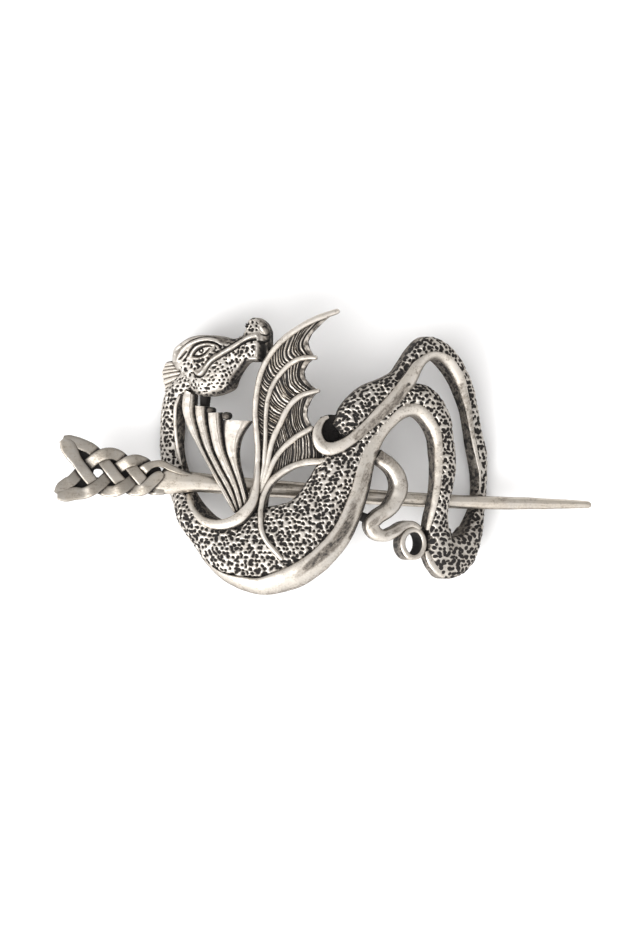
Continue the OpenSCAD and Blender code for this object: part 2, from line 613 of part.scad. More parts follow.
// Head: skull and snout with an open mouth, ribs of the face, eye and nostrils, and the ear fin
module head() {
    difference() {
        pad(head_outline, head_ridge, body_dome, arc = 4);
        hull()
            for (p = mouth)
                ball(p, mouth_height, mouth_r);
    }
    for (rows = face_ribs)
        relief(rows, steps = 2);
    sheet(ear_lines, ear_profile, ear_back, ear_scallops, rows = 3);
}

// Bosses in relief: eye, nostrils and the curls on top of the small wing
module bosses() {
    for (b = bosses)
        hull() {
            ball(b, b[2], b[3]);
            ball(b, boss_root, b[3] / 2);
        }
}

// Large wing: fluted webs between its fingers, the whip and the arm band
module large_wing() {
    profile = [for (k = [0 : web_cells]) web_height - web_sag * sin(180 * k / web_cells)];
    sheet(fingers, profile, wing_back, web_scallops, web_rows, flute_depth, web_reach);
    for (rows = fingers)
        rib(rows);
    relief(whip_rows);
    relief(arm_rows, dome_limit = arm_dome);
}

// Small wing: four rounded lobes side by side, the last two cut short at their tops
module small_wing() {
    sheet(small_lines, lobe_profile, small_wing_back, small_scallops, rows = 7);
}

// Ring: an upright oval tube, which leans with the arch
module ring() {
    path = [
        for (k = [0 : ring_steps - 1])
            let (
                a = -360 * k / ring_steps,
                p = ring_centre + [ring_radii[0] * cos(a), ring_radii[1] * sin(a)]
            )
            [p[X], p[Y], ring_w, ring_height, ring_height, ring_back]
    ];
    points = [
        for (i = [0 : ring_steps - 1])
            let (
                d = path[(i + 1) % ring_steps] - path[(i + ring_steps - 1) % ring_steps],
                l = norm([d[X], d[Y]])
            )
            for (q = section(path[i], rib_dome, 4, true))
                arched([path[i][X] + d[Y] / l * q[0], path[i][Y] - d[X] / l * q[0], q[1]])
    ];
    polyhedron(points, tube_faces(ring_steps, 9, true));
}

// Dragon slide: one casting, with small flats where it rests
module dragon_slide() {
    color(slide_colour)
        intersection() {
            union() {
                strand(hide_rows);
                strand(outer_rows);
                pad(heel_outline, heel_ridge, heel_dome);
                pad(hollow_outline, hollow_ridge, 0.1, lift = hollow_top, arc = 2);
                for (rows = [belly_rows, crest_rows])
                    strand(rows, band_dome, steps = 1, arc = 3);
                for (rows = rim_rows)
                    relief(rows, steps = 2);
                for (rows = link_rows)
                    strand(rows, dome_limit = rib_dome, steps = 1, arc = 3);
                strand(curl_rows, arc = 5);
                ring();
                head();
                bosses();
                large_wing();
                small_wing();
            }
            translate([-room, -room, 0]) cube(2 * room);
        }
}

// Place of the plait at turn u along the stick: along the axis, across it, and its half-spread
function plait_axis(u) = [-21.6 + 6.44 * u - 0.44 * u ^ 2, 1.25 - 0.29 * u];
function plait_spread(u) = 4.8 - 1.2 * u + 0.14 * u ^ 2;

// Rows of plaited strand j: it swings from side to side, and weaves over and under in turn
function plait_rows(j) = [
    for (r = fin_rows[j])
        [each r, plait_thickness],
    for (u = [joins[j] : plait_step : leaves[j]])
        let (turn = 90 * (u - j) + 90, c = plait_axis(u), y = c[1] + plait_spread(u) * cos(turn))
        [c[0], y, plait_width, -plait_weave * sin(3 * turn), plait_thickness],
    for (r = end_rows[j])
        [each r, plait_thickness]
];

// Ribbon along rows of place, width, height of its middle and thickness
module ribbon(rows) {
    points = [
        for (i = [0 : len(rows) - 1])
            let (side = sideways(rows, i), r = rows[i], h = r[2] / 2, t = r[4] / 2, e = t * (1 - plait_edge))
            for (q = [[-h, -e], [-h, e], [-h / 2, t], [h / 2, t], [h, e], [h, -e], [h / 2, -t], [-h / 2, -t]])
                [r[0] + side[0] * q[0], r[1] + side[1] * q[0], r[3] + q[1]]
    ];
    polyhedron(points, tube_faces(len(rows), 8, false));
}

// Floor of the knot head, pierced by one hole between the first two crossings
module knot_floor() {
    translate([0, 0, floor_heights[0]])
        linear_extrude(floor_heights[1] - floor_heights[0])
            difference() {
                polygon(floor_outline);
                polygon(floor_hole);
            }
}

// Pin: rounded, with a faint ridge along its top, thinning to a blunt tip
module pin() {
    path = smooth(pin_rows, 2);
    for (i = [0 : len(path) - 2])
        hull()
            for (r = [path[i], path[i + 1]])
                translate([r[ALONG], r[ACROSS], 0])
                    rotate([90, 0, 90])
                        linear_extrude(0.02)
                            polygon([
                                for (k = [0 : pin_sides - 1])
                                    let (
                                        a = 360 * k / pin_sides + 90,
                                        peak = 1 + pin_ridge * max(0, cos(2 * a + 180)) ^ 4
                                    )
                                    [r[WIDE] / 2 * cos(a), r[THICK] / 2 * sin(a) * peak / (1 + pin_ridge)]
                            ]);
}

// Hair stick: pin, plaited knot head and fish tail in one
module hair_stick() {
    color(stick_colour)
        translate([stick_origin[X], stick_origin[Y], stick_height])
            rotate([0, 0, -stick_turn])
                rotate([0, stick_fall, 0]) {
                    pin();
                    knot_floor();
                    for (j = [0 : plait_strands - 1])
                        ribbon(plait_rows(j));
                }
}

dragon_slide();
hair_stick();
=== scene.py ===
"""Hair stick with an arched dragon slide: two castings in antique silver, dressed for the picture.

The slide's pieces are laid out flat in millimetres, as [x, y, height], and then bent over the
arch that the part is cast to.
"""

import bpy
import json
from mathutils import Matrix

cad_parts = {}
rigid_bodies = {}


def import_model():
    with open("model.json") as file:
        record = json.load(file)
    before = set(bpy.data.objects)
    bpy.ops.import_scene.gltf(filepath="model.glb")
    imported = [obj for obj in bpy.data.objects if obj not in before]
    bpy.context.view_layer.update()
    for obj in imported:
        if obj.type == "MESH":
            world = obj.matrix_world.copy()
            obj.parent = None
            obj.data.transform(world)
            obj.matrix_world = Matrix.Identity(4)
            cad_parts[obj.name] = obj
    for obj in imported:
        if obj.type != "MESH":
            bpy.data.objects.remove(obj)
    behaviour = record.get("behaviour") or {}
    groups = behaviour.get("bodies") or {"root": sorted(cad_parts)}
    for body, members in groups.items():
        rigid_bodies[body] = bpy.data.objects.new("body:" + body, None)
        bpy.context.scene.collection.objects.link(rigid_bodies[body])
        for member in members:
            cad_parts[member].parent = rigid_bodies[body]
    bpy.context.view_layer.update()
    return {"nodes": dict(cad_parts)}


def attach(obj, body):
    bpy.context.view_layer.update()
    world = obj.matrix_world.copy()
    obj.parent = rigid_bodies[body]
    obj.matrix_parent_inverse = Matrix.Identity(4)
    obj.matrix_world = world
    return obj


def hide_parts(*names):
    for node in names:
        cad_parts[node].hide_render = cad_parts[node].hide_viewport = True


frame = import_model()

import json
import math

import bpy
import numpy as np
from bpy.props import FloatProperty, FloatVectorProperty, PointerProperty
from mathutils import Matrix, Vector

bl_info = {
    "name": "Dragon Hair Stick",
    "version": (1, 0, 0),
    "blender": (4, 5, 0),
    "location": "View3D > Sidebar > Hair Stick",
    "description": "Models an antique silver hair stick and its arched dragon slide",
    "category": "Object",
}

MM = 0.001

# Columns of a strand in the tables: place in plan, width, heights of the left and right shoulders as
# seen along the strand, and how far its flat back is raised
X, Y, W, LEFT, RIGHT, LIFT = range(6)

# Neck, body and inner loop of the tail, from the head to the heel
HIDE = [
    [-26.4, 15.4, 3.8, 0, 0, 0], [-28.2, 13.6, 3.8, 0, 0, 0], [-29.8, 12, 3.4, 0, 0, 0],
    [-30.7, 9.8, 3, 0, 0, 0], [-31.1, 7, 3.2, -0.2, -0.2, 0], [-31.2, 4.2, 3.5, -0.4, -0.4, 0],
    [-31.5, 1.4, 3.8, -1, -1, 0], [-31.3, -1.6, 4.1, -1.4, -1.4, 0], [-30.5, -4.6, 4.2, -1.6, -1.6, 0],
    [-29.7, -7.4, 4.4, -1.6, -1.6, 0], [-28.4, -10, 4.6, -1, -1, 0], [-26.8, -12.6, 5.3, 0, 0, 0],
    [-24.3, -15.5, 6.4, 0, 0, 0], [-20.9, -18.2, 9.2, 0, 0, 0], [-16.8, -20, 12.4, 0, 0, 0],
    [-12.4, -19.8, 16.4, 0, 0, 0], [-7.7, -18.8, 17.2, 0, 0, 0], [-3.1, -16, 15.2, 0, 0, 0],
    [-0.2, -12.5, 13.2, 0, 0, 0], [2, -8.3, 12, 0, 0, 0], [3.8, -4.3, 10.8, 0, 0, 0],
    [5.8, -0.7, 8.8, -0.2, -0.2, 0], [8, 2.5, 7, -0.4, -0.4, 0], [10.6, 5.9, 6, -0.4, -0.4, 0],
    [13.5, 9, 5.2, -0.2, -0.2, 0], [16.5, 11, 5.2, 0, 0, 0], [19.3, 10.8, 5.4, 0.2, 0.2, 0],
    [21.3, 8.9, 5.1, 0.4, 0.4, 0], [22.7, 6.3, 4.6, 0.6, 0.6, 0.4], [23.2, 3.4, 4.2, 0.8, 0.8, 0.8],
    [23.5, 0, 4.35, 0.9, 0.9, 1.2], [23.6, -3.6, 4.2, 1, 1, 1.5], [23.2, -7.4, 3.8, 1, 1, 1.6],
    [22.7, -10.8, 3.5, 0.9, 0.9, 1.3], [22.5, -14, 3.9, 0.5, 0.5, 0.6], [23, -17.4, 4.6, 0, 0, 0],
    [23.7, -20, 4.6, 0, 0, 0], [25.4, -21.7, 4.4, 0, 0, 0],
]
NECK_ENDS, BODY_ENDS = 8.3, 22.6  # rows at which the neck and the body end, under other forms

# Outer loop of the tail, from the heel round to the crest over the body
OUTER_TAIL = [
    [26, -21.9, 4.2, 0, 0, 0], [27.9, -20.9, 4.3, 0, 0, 0], [28.9, -18.6, 4.2, 0, 0, 0],
    [30.4, -15, 3.2, -0.2, -0.2, 0], [31.6, -11.8, 2.3, -0.8, -0.8, -0.2],
    [32.1, -8.2, 2, -0.8, -0.8, -0.2], [32, -4.6, 1.9, -0.4, -0.4, -0.2], [31.5, 0, 2.2, 0, 0, 0.3],
    [30.4, 4.4, 2.3, 0, 0, 0.7], [29.6, 8.5, 2.5, 0, 0, 0.7], [28.5, 12.3, 3, 0, 0, 0.3],
    [27, 15.7, 3.4, 0, 0, 0], [25.2, 18.3, 3.8, 0, 0, 0], [23, 20.3, 4.1, 0, 0, 0],
    [20.7, 20.9, 4.3, 0, 0, 0], [18.7, 19.2, 4.2, 0, 0, 0], [16.9, 16.8, 4, 0, 0, 0],
    [15.2, 14.3, 4.4, 0, 0, 0], [12.5, 11.9, 6.2, 0, 0, 0], [9.5, 9.8, 7.8, 0, 0, 0],
    [6.8, 7.3, 8, 0, 0, 0], [4.8, 5.2, 6.8, 0, 0, 0], [3, 3.8, 4.4, -0.6, -0.6, 0],
]

# Smooth band on the belly, which runs on along the inside of the inner loop
BELLY_BAND = [
    [-24.6, -20.9, 0.5, 0.2, -0.4, 0.25], [-22.4, -23.1, 0.9, 0.9, -0.2, 0.25],
    [-19.6, -25, 1.7, 1.6, 0, 0.25], [-16.2, -26.2, 2.7, 2, 0, 0.25], [-12.4, -26.8, 3.5, 2.2, 0, 0.25],
    [-8.6, -25.9, 4.2, 2.3, 0, 0.25], [-5, -24.4, 4.6, 2.3, 0, 0.25], [-1.6, -22.2, 4.6, 2.3, 0, 0.25],
    [1.2, -19.4, 4.5, 2.3, 0, 0.25], [3.4, -16.6, 4.3, 2.3, 0, 0.25], [5, -13.4, 4.1, 2.3, 0, 0.25],
    [6.4, -9.8, 3.9, 2.2, 0.1, 0.25], [7.4, -6.4, 3.7, 2, 0.2, 0.25], [8.05, -3.2, 3.5, 1.7, 0.3, 0.25],
    [9.1, 0, 3.2, 1.4, 0.4, 0.25], [10.3, 2.4, 2.8, 1.2, 0.4, 0.25], [11.7, 4.4, 2.5, 1.2, 0.4, 0.25],
    [13.6, 6.4, 2.3, 1.3, 0.5, 0.25], [15.6, 8, 2.7, 1.5, 0.6, 0.25], [17.4, 8.4, 2.6, 1.7, 0.7, 0.25],
    [18.9, 7.9, 2.3, 1.8, 0.8, 0.25], [20.3, 6.4, 1.9, 1.9, 0.9, 0.45], [21.4, 4.3, 1.7, 2.1, 1.1, 0.85],
    [22, 1.6, 1.5, 2.2, 1.3, 1.25], [22.1, -1.6, 1.4, 2.3, 1.4, 1.55], [22, -4.4, 1.3, 2.3, 1.4, 1.75],
    [21.7, -7.4, 1.1, 2.2, 1.4, 1.85], [21.3, -10.2, 1, 2, 1.2, 1.65], [20.85, -12.8, 0.9, 1.6, 0.8, 1.05],
    [20.5, -15.6, 0.7, 0.8, 0.4, 0.55],
]

# Smooth band of the outer loop, over the top and down over the body, round the hollow to its tip
CREST_BAND = [
    [31.3, -7.6, 0.3, 0, 0, 0.25], [31.1, -4.6, 0.4, 0.4, 0.4, 0.25],
    [30.5, -1.6, 0.5, 0.5, 0.6, 0.45], [29.8, 1.4, 0.6, 0.5, 0.8, 0.65], [29.1, 5, 0.75, 0.5, 0.95, 0.95],
    [28.5, 8.4, 0.95, 0.5, 1.1, 0.95], [27.6, 11.6, 1.15, 0.5, 1.3, 0.55],
    [26.7, 14.4, 1.6, 0.5, 1.5, 0.25], [25.5, 16.6, 1.7, 0.5, 1.6, 0.25],
    [24.2, 18.2, 1.7, 0.5, 1.7, 0.25], [22.7, 19.1, 1.6, 0.5, 1.7, 0.25], [21, 19.2, 1.7, 0.6, 1.8, 0.25],
    [19.4, 18.3, 2, 0.7, 1.9, 0.25], [18, 16.8, 2.6, 0.8, 2, 0.25], [16.7, 14.6, 3.1, 0.9, 2.1, 0.25],
    [15, 12.2, 3.3, 1, 2.2, 0.25], [13, 9.8, 3.2, 1.1, 2.3, 0.25], [11, 7.8, 3, 1.2, 2.4, 0.25],
    [9, 5.8, 2.6, 1.4, 2.4, 0.25], [7, 4, 2.3, 1.6, 2.4, 0.25], [5, 2.3, 2.2, 1.8, 2.4, 0.25],
    [3, 1.1, 2.4, 2, 2.2, 0.25], [1.2, 0.6, 2.7, 1.9, 1.9, 0.25], [-0.3, 1.1, 2.6, 1.7, 1.7, 0.25],
    [-1.1, 2.4, 2.3, 1.6, 1.6, 0.25], [-1.3, 4, 1.8, 1.5, 1.5, 0.25], [-0.9, 5.4, 1.5, 1.3, 1.3, 0.25],
    [-0.1, 6.5, 1.1, 1, 1, 0.25], [0.9, 7, 0.6, 0.7, 0.7, 0.25],
]

# Curl that leaves the belly band and winds down to the ring
CURL = [
    [10.6, -0.8, 3, -0.2, -0.2, 0], [12.8, -2.3, 3, -0.2, -0.2, 0], [14.2, -3.8, 3.1, -0.1, -0.1, 0],
    [15, -5.8, 3.2, 0, 0, 0], [15, -7.8, 3.2, 0, 0, 0], [14.2, -9.8, 3.1, 0, 0, 0],
    [12.8, -11.6, 3, 0, 0, 0], [10.8, -12.9, 3, 0, 0, 0], [9.5, -14.4, 3.1, 0, 0, 0],
    [10.2, -16, 2.8, 0, 0, 0], [12, -16.7, 2.4, 0, 0, 0], [14, -16, 2.3, 0.1, 0.1, 0],
    [15.8, -14.8, 1.9, 0.2, 0.2, 0], [17.6, -14.5, 1.4, 0.3, 0.3, 0], [19, -15.4, 1.1, 0.4, 0.4, 0],
]
RING_PLACE = (17.7, -18.3)
RING_OUTER = (2.7, 3.3)
RING_WALL = 1.1

# Arm band across the root of the wing, and the lowest finger, which runs on as a whip over the body
ARM_BAND = [
    [-27.2, -8.4, 1, -0.3, -0.3, 1.6], [-26.4, -10.2, 1.2, 0.6, 0.6, 3],
    [-25.2, -12.2, 1.4, 1.2, 1.2, 3], [-23.4, -13.8, 1.6, 1.6, 1.6, 3],
    [-21, -14.5, 1.9, 1.9, 1.9, 3], [-18.6, -14.3, 2.1, 2.1, 2.1, 3],
    [-16.6, -13.4, 2.2, 2.1, 2.1, 3], [-15.2, -12, 2.2, 1.9, 1.9, 1.1],
    [-14, -10.2, 1.9, 1.5, 1.5, 1.1], [-13.4, -8, 1.6, 1.1, 1.1, 1.1],
    [-13.1, -5.2, 1.2, 0.8, 0.8, 1.1], [-13, -2, 0.8, 0.6, 0.6, 1.1],
]
WHIP = [
    [0.2, -1.9, 1.2, 0.5, 0.5, 1.1], [-2.4, -1.8, 1.2, 0.5, 0.5, 1.1], [-5, -2.4, 1.2, 0.5, 0.5, 1.1],
    [-8.2, -4, 1.2, 0.6, 0.6, 1.1], [-10.6, -6.2, 1.2, 0.8, 0.8, 1.1],
    [-11.8, -8.6, 1.15, 1, 1, 1.4], [-12.2, -11, 1.1, 1.4, 1.4, 2.4],
    [-12.2, -13.2, 1, 1.9, 1.9, 3], [-11.9, -15.6, 1, 2.2, 2.2, 3],
    [-11, -17.7, 1, 2.4, 2.4, 3], [-9.4, -19.7, 1, 2.4, 2.4, 3],
    [-7.8, -21.6, 1, 2.2, 2.2, 3],
]

# Fingers of the large wing, from their roots to their tips: place in plan and width
FINGERS = [
    [[-14.6, -9.6, 1.14], [-13.5, -5.6, 1.14], [-13.1, 0.4, 1.14], [-13.6, 8.2, 1.14], [-12.9, 14.2, 1.14],
     [-11.4, 18.2, 1.14], [-9.2, 21.3, 1.14], [-5.8, 24.2, 1.14], [-1.8, 26.4, 1.25], [3.1, 28.2, 1.1]],
    [[-14.6, -10.4, 1.14], [-13, -7.6, 1.03], [-12, -3.6, 0.91], [-11.6, 1.4, 0.91], [-11.4, 8.2, 0.91],
     [-10.4, 12.8, 0.97], [-7.8, 16.6, 1.03], [-4.8, 18.6, 1.03], [-1.3, 18.8, 0.91]],
    [[-12.4, -7.4, 1.03], [-11.2, -2.6, 1.03], [-10.2, 2.2, 1.14], [-8.6, 5.8, 1.14], [-7.1, 8.8, 1.14],
     [-4.6, 11.2, 1.14], [-0.8, 12.3, 0.91]],
    [[-12.6, -8.2, 1.03], [-11.2, -5, 1.03], [-9.8, -1.6, 1.08], [-8, 0.8, 1.14], [-5.2, 3.2, 1.14],
     [-2, 4.9, 1.14]],
    [[-12.2, -12.6, 1.14], [-11.9, -9, 1.25], [-10.7, -6.2, 1.37], [-8.2, -4, 1.37], [-5, -2.4, 1.37],
     [0, -1.8, 1.37]],
]
WEB_SCALLOPS = [0.085, 0.085, 0.09, -0.03]
WEB_LINES = [52, 44, 36, 28]  # raised lines that cross each web
WEB_LEANS = [0.85, 0.3, 0.4, -0.6]  # how far the lines lean from the right finger to the left one

# Lines between the lobes of the small wing: the left and the right line of each lobe
LOBES = [
    ([[-17.8, -12.2], [-19.6, -9.4], [-22.2, -4.4], [-25, 0.8], [-27.4, 5.4], [-28.4, 9.2], [-28, 12.8]],
     [[-17.2, -12], [-19, -8.2], [-21.8, -3.2], [-24, 1.4], [-25.2, 5.4], [-25.7, 8], [-25.6, 11.4]]),
    ([[-17.2, -12], [-19, -8.2], [-21.8, -3.2], [-24, 1.4], [-25.2, 5.4], [-25.7, 7.6], [-25.8, 9.3]],
     [[-16.8, -11.6], [-18.2, -7.2], [-20.4, -3], [-22, 0.6], [-22.9, 4.2], [-23.3, 6.6], [-23.4, 9.1]]),
    ([[-16.8, -11.6], [-18.2, -7.2], [-20.4, -3], [-22, 0.6], [-22.9, 4.2], [-23.2, 6.2], [-23.3, 7.8]],
     [[-15.8, -11], [-17, -6.6], [-18.5, -2.6], [-19.6, 0.4], [-20.2, 3.6], [-20.4, 6], [-20.5, 7.9]]),
    ([[-15.8, -11], [-17, -6.6], [-18.5, -2.6], [-19.6, 0.4], [-20.1, 3.2], [-20.2, 5], [-20.2, 6.4]],
     [[-15, -9.6], [-16, -5.8], [-16.8, -2.6], [-17, 0], [-16.6, 2.4], [-15.6, 4.4], [-14.2, 6.2]]),
]

# The head is lofted between its upper edge and its lower edge, from the skull to the lips
HEAD_UPPER = [
    [-30.2, 18], [-29.8, 20.6], [-28.4, 22], [-26.6, 23], [-24.4, 23.4], [-21.6, 23.2], [-18.8, 22.6],
    [-16.8, 23], [-15.6, 24.4], [-15.2, 25.9], [-14.3, 26.8], [-12.8, 26.5], [-11.5, 25.4], [-10.8, 23.9],
]
HEAD_LOWER = [
    [-29.4, 16.6], [-28.4, 15.4], [-27.2, 13.8], [-26, 12.2], [-24.6, 11.2], [-22.4, 11.2], [-20.2, 11.8],
    [-18.6, 12.7], [-17.8, 14.6], [-16.7, 16.4], [-15.2, 17.9], [-13, 17.9], [-11.8, 18.4], [-10.8, 20.6],
]
# Strokes on the head, raised or cut: place where it is seen in plan, half width and height
HEAD_STROKES = [
    # back of the skull, outer ridge of the brow, and the line inside it
    [[-30, 18.2, 0.4, 0.3], [-29.8, 20.4, 0.4, 0.35], [-28.8, 21.4, 0.4, 0.3]],
    [[-28.2, 21.8, 0.5, 0.2], [-25.6, 22.9, 0.5, 0.35], [-22.8, 23.1, 0.5, 0.35], [-20.2, 22.5, 0.4, 0.2]],
    [[-28.6, 20.9, 0.2, -0.15], [-26.2, 22.4, 0.2, -0.25], [-23.4, 23, 0.2, -0.2],
     [-21, 22.7, 0.2, -0.1]],
    # inner ridge of the brow, and the groove between it and the eyelid
    [[-29.4, 18.2, 0.5, 0.4], [-28.2, 20.3, 0.55, 0.6], [-26.4, 21.8, 0.55, 0.65], [-23.6, 22.55, 0.55, 0.65],
     [-21.4, 22.15, 0.5, 0.6], [-20.2, 21.4, 0.4, 0.3]],
    [[-27.3, 19.3, 0.22, -0.35], [-26.7, 20.5, 0.26, -0.5], [-25.5, 21.55, 0.26, -0.55],
     [-23.6, 22, 0.26, -0.6], [-21.8, 21.8, 0.28, -0.6], [-21, 21.2, 0.26, -0.45]],
    # wrinkles behind the eye
    [[-28.9, 18.6, 0.2, -0.3], [-27.5, 20.1, 0.2, -0.3]],
    [[-28.2, 18.2, 0.2, -0.35], [-26.9, 19.9, 0.2, -0.35]],
    # upper eyelid and lower eyelid
    [[-26.7, 19.2, 0.35, 0.3], [-25.5, 20.85, 0.4, 0.5], [-23.6, 21.55, 0.4, 0.55], [-21.8, 21.3, 0.4, 0.4]],
    [[-26.3, 18.75, 0.35, 0.3], [-24.8, 18.6, 0.4, 0.45], [-23.4, 19.2, 0.4, 0.45], [-22.3, 20.4, 0.35, 0.3]],
    # lines round the eyeball, and its iris
    [[-26.2, 19.3, 0.18, -0.4], [-25.5, 20.25, 0.22, -0.65], [-24.4, 20.95, 0.22, -0.65],
     [-23, 21.2, 0.18, -0.5], [-22.5, 21.1, 0.14, -0.3]],
    [[-26.2, 19.3, 0.18, -0.4], [-25, 19.2, 0.24, -0.7], [-23.9, 19.7, 0.22, -0.6],
     [-22.9, 20.7, 0.16, -0.4]],
    [[-24.95, 20.3, 0.17, -0.6], [-24.75, 19.95, 0.17, -0.6], [-24.4, 19.95, 0.17, -0.6],
     [-24.2, 20.3, 0.17, -0.5], [-24.4, 20.65, 0.17, -0.6], [-24.75, 20.65, 0.17, -0.6],
     [-24.95, 20.3, 0.17, -0.6]],
    # mouth ridge with its curl, and the line under it
    [[-25.8, 16.1, 0.35, 0.3], [-24.9, 15.6, 0.5, 0.55], [-24.1, 16.1, 0.5, 0.6], [-23.2, 17.4, 0.5, 0.65],
     [-21.8, 18.7, 0.55, 0.7], [-19.6, 20.1, 0.55, 0.7], [-17.2, 21.5, 0.55, 0.7], [-15.2, 22.7, 0.55, 0.7],
     [-13.4, 23.3, 0.5, 0.5]],
    [[-26.1, 15.9, 0.18, -0.5], [-25.3, 15.05, 0.24, -0.65], [-24.2, 15.1, 0.22, -0.55],
     [-23.5, 16, 0.16, -0.3], [-22.4, 17.7, 0.16, -0.35], [-20.4, 19.05, 0.18, -0.4],
     [-18, 20.4, 0.2, -0.5], [-16, 21.75, 0.26, -0.65], [-14.6, 22.3, 0.3, -0.8],
     [-13.5, 22.4, 0.26, -0.8]],
    [[-24.3, 17.2, 0.14, -0.2], [-22.2, 19.5, 0.14, -0.3], [-19.3, 21, 0.14, -0.3],
     [-16.4, 22.8, 0.14, -0.25]],
    # lip, chin, and the open mouth beside it
    [[-13.2, 22.9, 0.4, 0.4], [-13.3, 20.9, 0.38, 0.5], [-13.4, 19, 0.38, 0.45]],
    [[-14.8, 18.5, 0.5, 0.3], [-13.6, 18.6, 0.5, 0.4]],
    [[-12.2, 21.6, 0.6, -0.8], [-12.2, 20.4, 0.85, -1.7], [-12.3, 19.2, 0.9, -1.8], [-12.6, 18.2, 0.7, -1.2]],
    # nose: its bumps, its nostril and the folds round it
    [[-14.4, 26.2, 0.7, 0.25], [-13.2, 26.3, 0.7, 0.3]],
    [[-12.4, 25.2, 0.8, 0.3], [-11.4, 24, 0.8, 0.4], [-11.4, 22.9, 0.6, 0.3]],
    [[-12.1, 24.9, 0.22, -0.5], [-11.7, 25, 0.22, -0.5], [-11.5, 24.7, 0.16, -0.3]],
    [[-11.3, 25.9, 0.18, -0.35], [-10.7, 25, 0.24, -0.6], [-10.5, 24.1, 0.2, -0.5]],
    [[-13, 22, 0.3, -0.5], [-12, 21.9, 0.35, -0.6], [-11, 22.3, 0.3, -0.6]],
    [[-12.4, 23.4, 0.16, -0.3], [-11.6, 23.2, 0.2, -0.45], [-11, 23.4, 0.16, -0.3]],
    # bulge of the cheek
    [[-23.6, 14, 3.4, 0.5], [-20.6, 15.4, 3, 0.45]],
]
# Smooth places on the head, which bear no pits: place in plan and half width
HEAD_BARE = [
    [[-30.2, 17.4, 1.6], [-29.2, 19.8, 1.7], [-27.2, 21.6, 1.9], [-24, 22.4, 1.7], [-21.2, 22.4, 1.2],
     [-19.4, 22.4, 0.5]],
    [[-26.4, 19.4, 1.1], [-24.6, 20, 1.5], [-22.8, 20.8, 1]],
    [[-25.4, 15.8, 0.75], [-24.4, 15.7, 0.7], [-23.2, 17.4, 0.7], [-21.8, 18.7, 0.7], [-19.6, 20.1, 0.7],
     [-17.2, 21.5, 0.7], [-15.2, 22.7, 0.7], [-13.4, 23.3, 0.7]],
    [[-13.2, 23.4, 0.6], [-13.3, 21.2, 0.5], [-13.5, 19, 0.6], [-14.6, 18.5, 0.5]],
    [[-12.2, 26.2, 1.1], [-11.2, 23.8, 1.6], [-11.3, 21, 1.4], [-11.6, 18.8, 1.4]],
]
# Where the head's pits lie close together: between the eye and the mouth, and out over the snout
HEAD_DENSE = [
    [[-26.4, 17.4, 1], [-24.2, 18, 1], [-22.2, 19.6, 1], [-20, 21.6, 1], [-17.4, 22.9, 1],
     [-15.4, 24.6, 1.2], [-14.4, 25.6, 1.3]],
    [[-18.4, 18.2, 0.9], [-16, 20.4, 0.9], [-14.4, 21.2, 0.7]],
]
# Dark stains on the nose and behind the brow, and painted shade along the jaw's underside
HEAD_STAINS_AND_SHADE = [
    [[-13, 26.4, 0.6, 0.2], [-11.8, 24.8, 1.1, 0.4], [-11.3, 23.2, 1.1, 0.6], [-11.4, 21, 1.2, 1.3]],
    # painted shade along the jaw's underside
    [[-14.2, 18, 0.6, 0.7], [-15.8, 17.4, 0.8, 0.8], [-17.2, 15.4, 0.8, 0.8], [-18.8, 12.9, 0.8, 0.8],
     [-20.6, 11.9, 0.6, 0.7]],
    [[-29.9, 19.4, 0.5, 0.3], [-28.2, 21.2, 0.4, 0.3], [-25, 22.3, 0.3, 0.25]],
    [[-20.4, 22.2, 0.7, 0.5], [-18.6, 22.1, 0.7, 0.6]],
]
# Lines of the ear fin, from its root to its tips, the lowest first
EAR_LINES = [
    [[-27, 14.6], [-29.4, 13.3], [-31.5, 12]], [[-26.8, 15.4], [-29.8, 14.5], [-31.9, 13.8]],
    [[-26.6, 16.6], [-30, 16.4], [-32.3, 16.1]], [[-27.2, 17.9], [-29.6, 18.3], [-31.6, 18.1]],
]

# Heel where the tail turns back: outline clockwise from its inner corner, and its ridge
HEEL = [
    [25.3, -16.9], [27.2, -16.4], [28.8, -14.9], [31.3, -15], [31.1, -18], [30.4, -20.6],
    [29.2, -22.8], [27.8, -24.2], [26.4, -25], [24.8, -25.4], [23.2, -25], [22, -23.6],
    [20.8, -21.4], [20.6, -19], [20.9, -16.2], [22.8, -14.8], [24.9, -15.2],
]
HEEL_RIDGE = [[24.4, -20.4], [27.6, -20.4]]
# Floor of the hollow between the hook and the crest
HOLLOW = [[-1.4, 5.6], [0, 7.2], [2, 7.4], [4.4, 6.8], [5, 4.2], [4.4, 1.8], [2, 1], [-0.6, 1.8]]
HOLLOW_RIDGE = [[1, 4.2], [3, 4.2]]
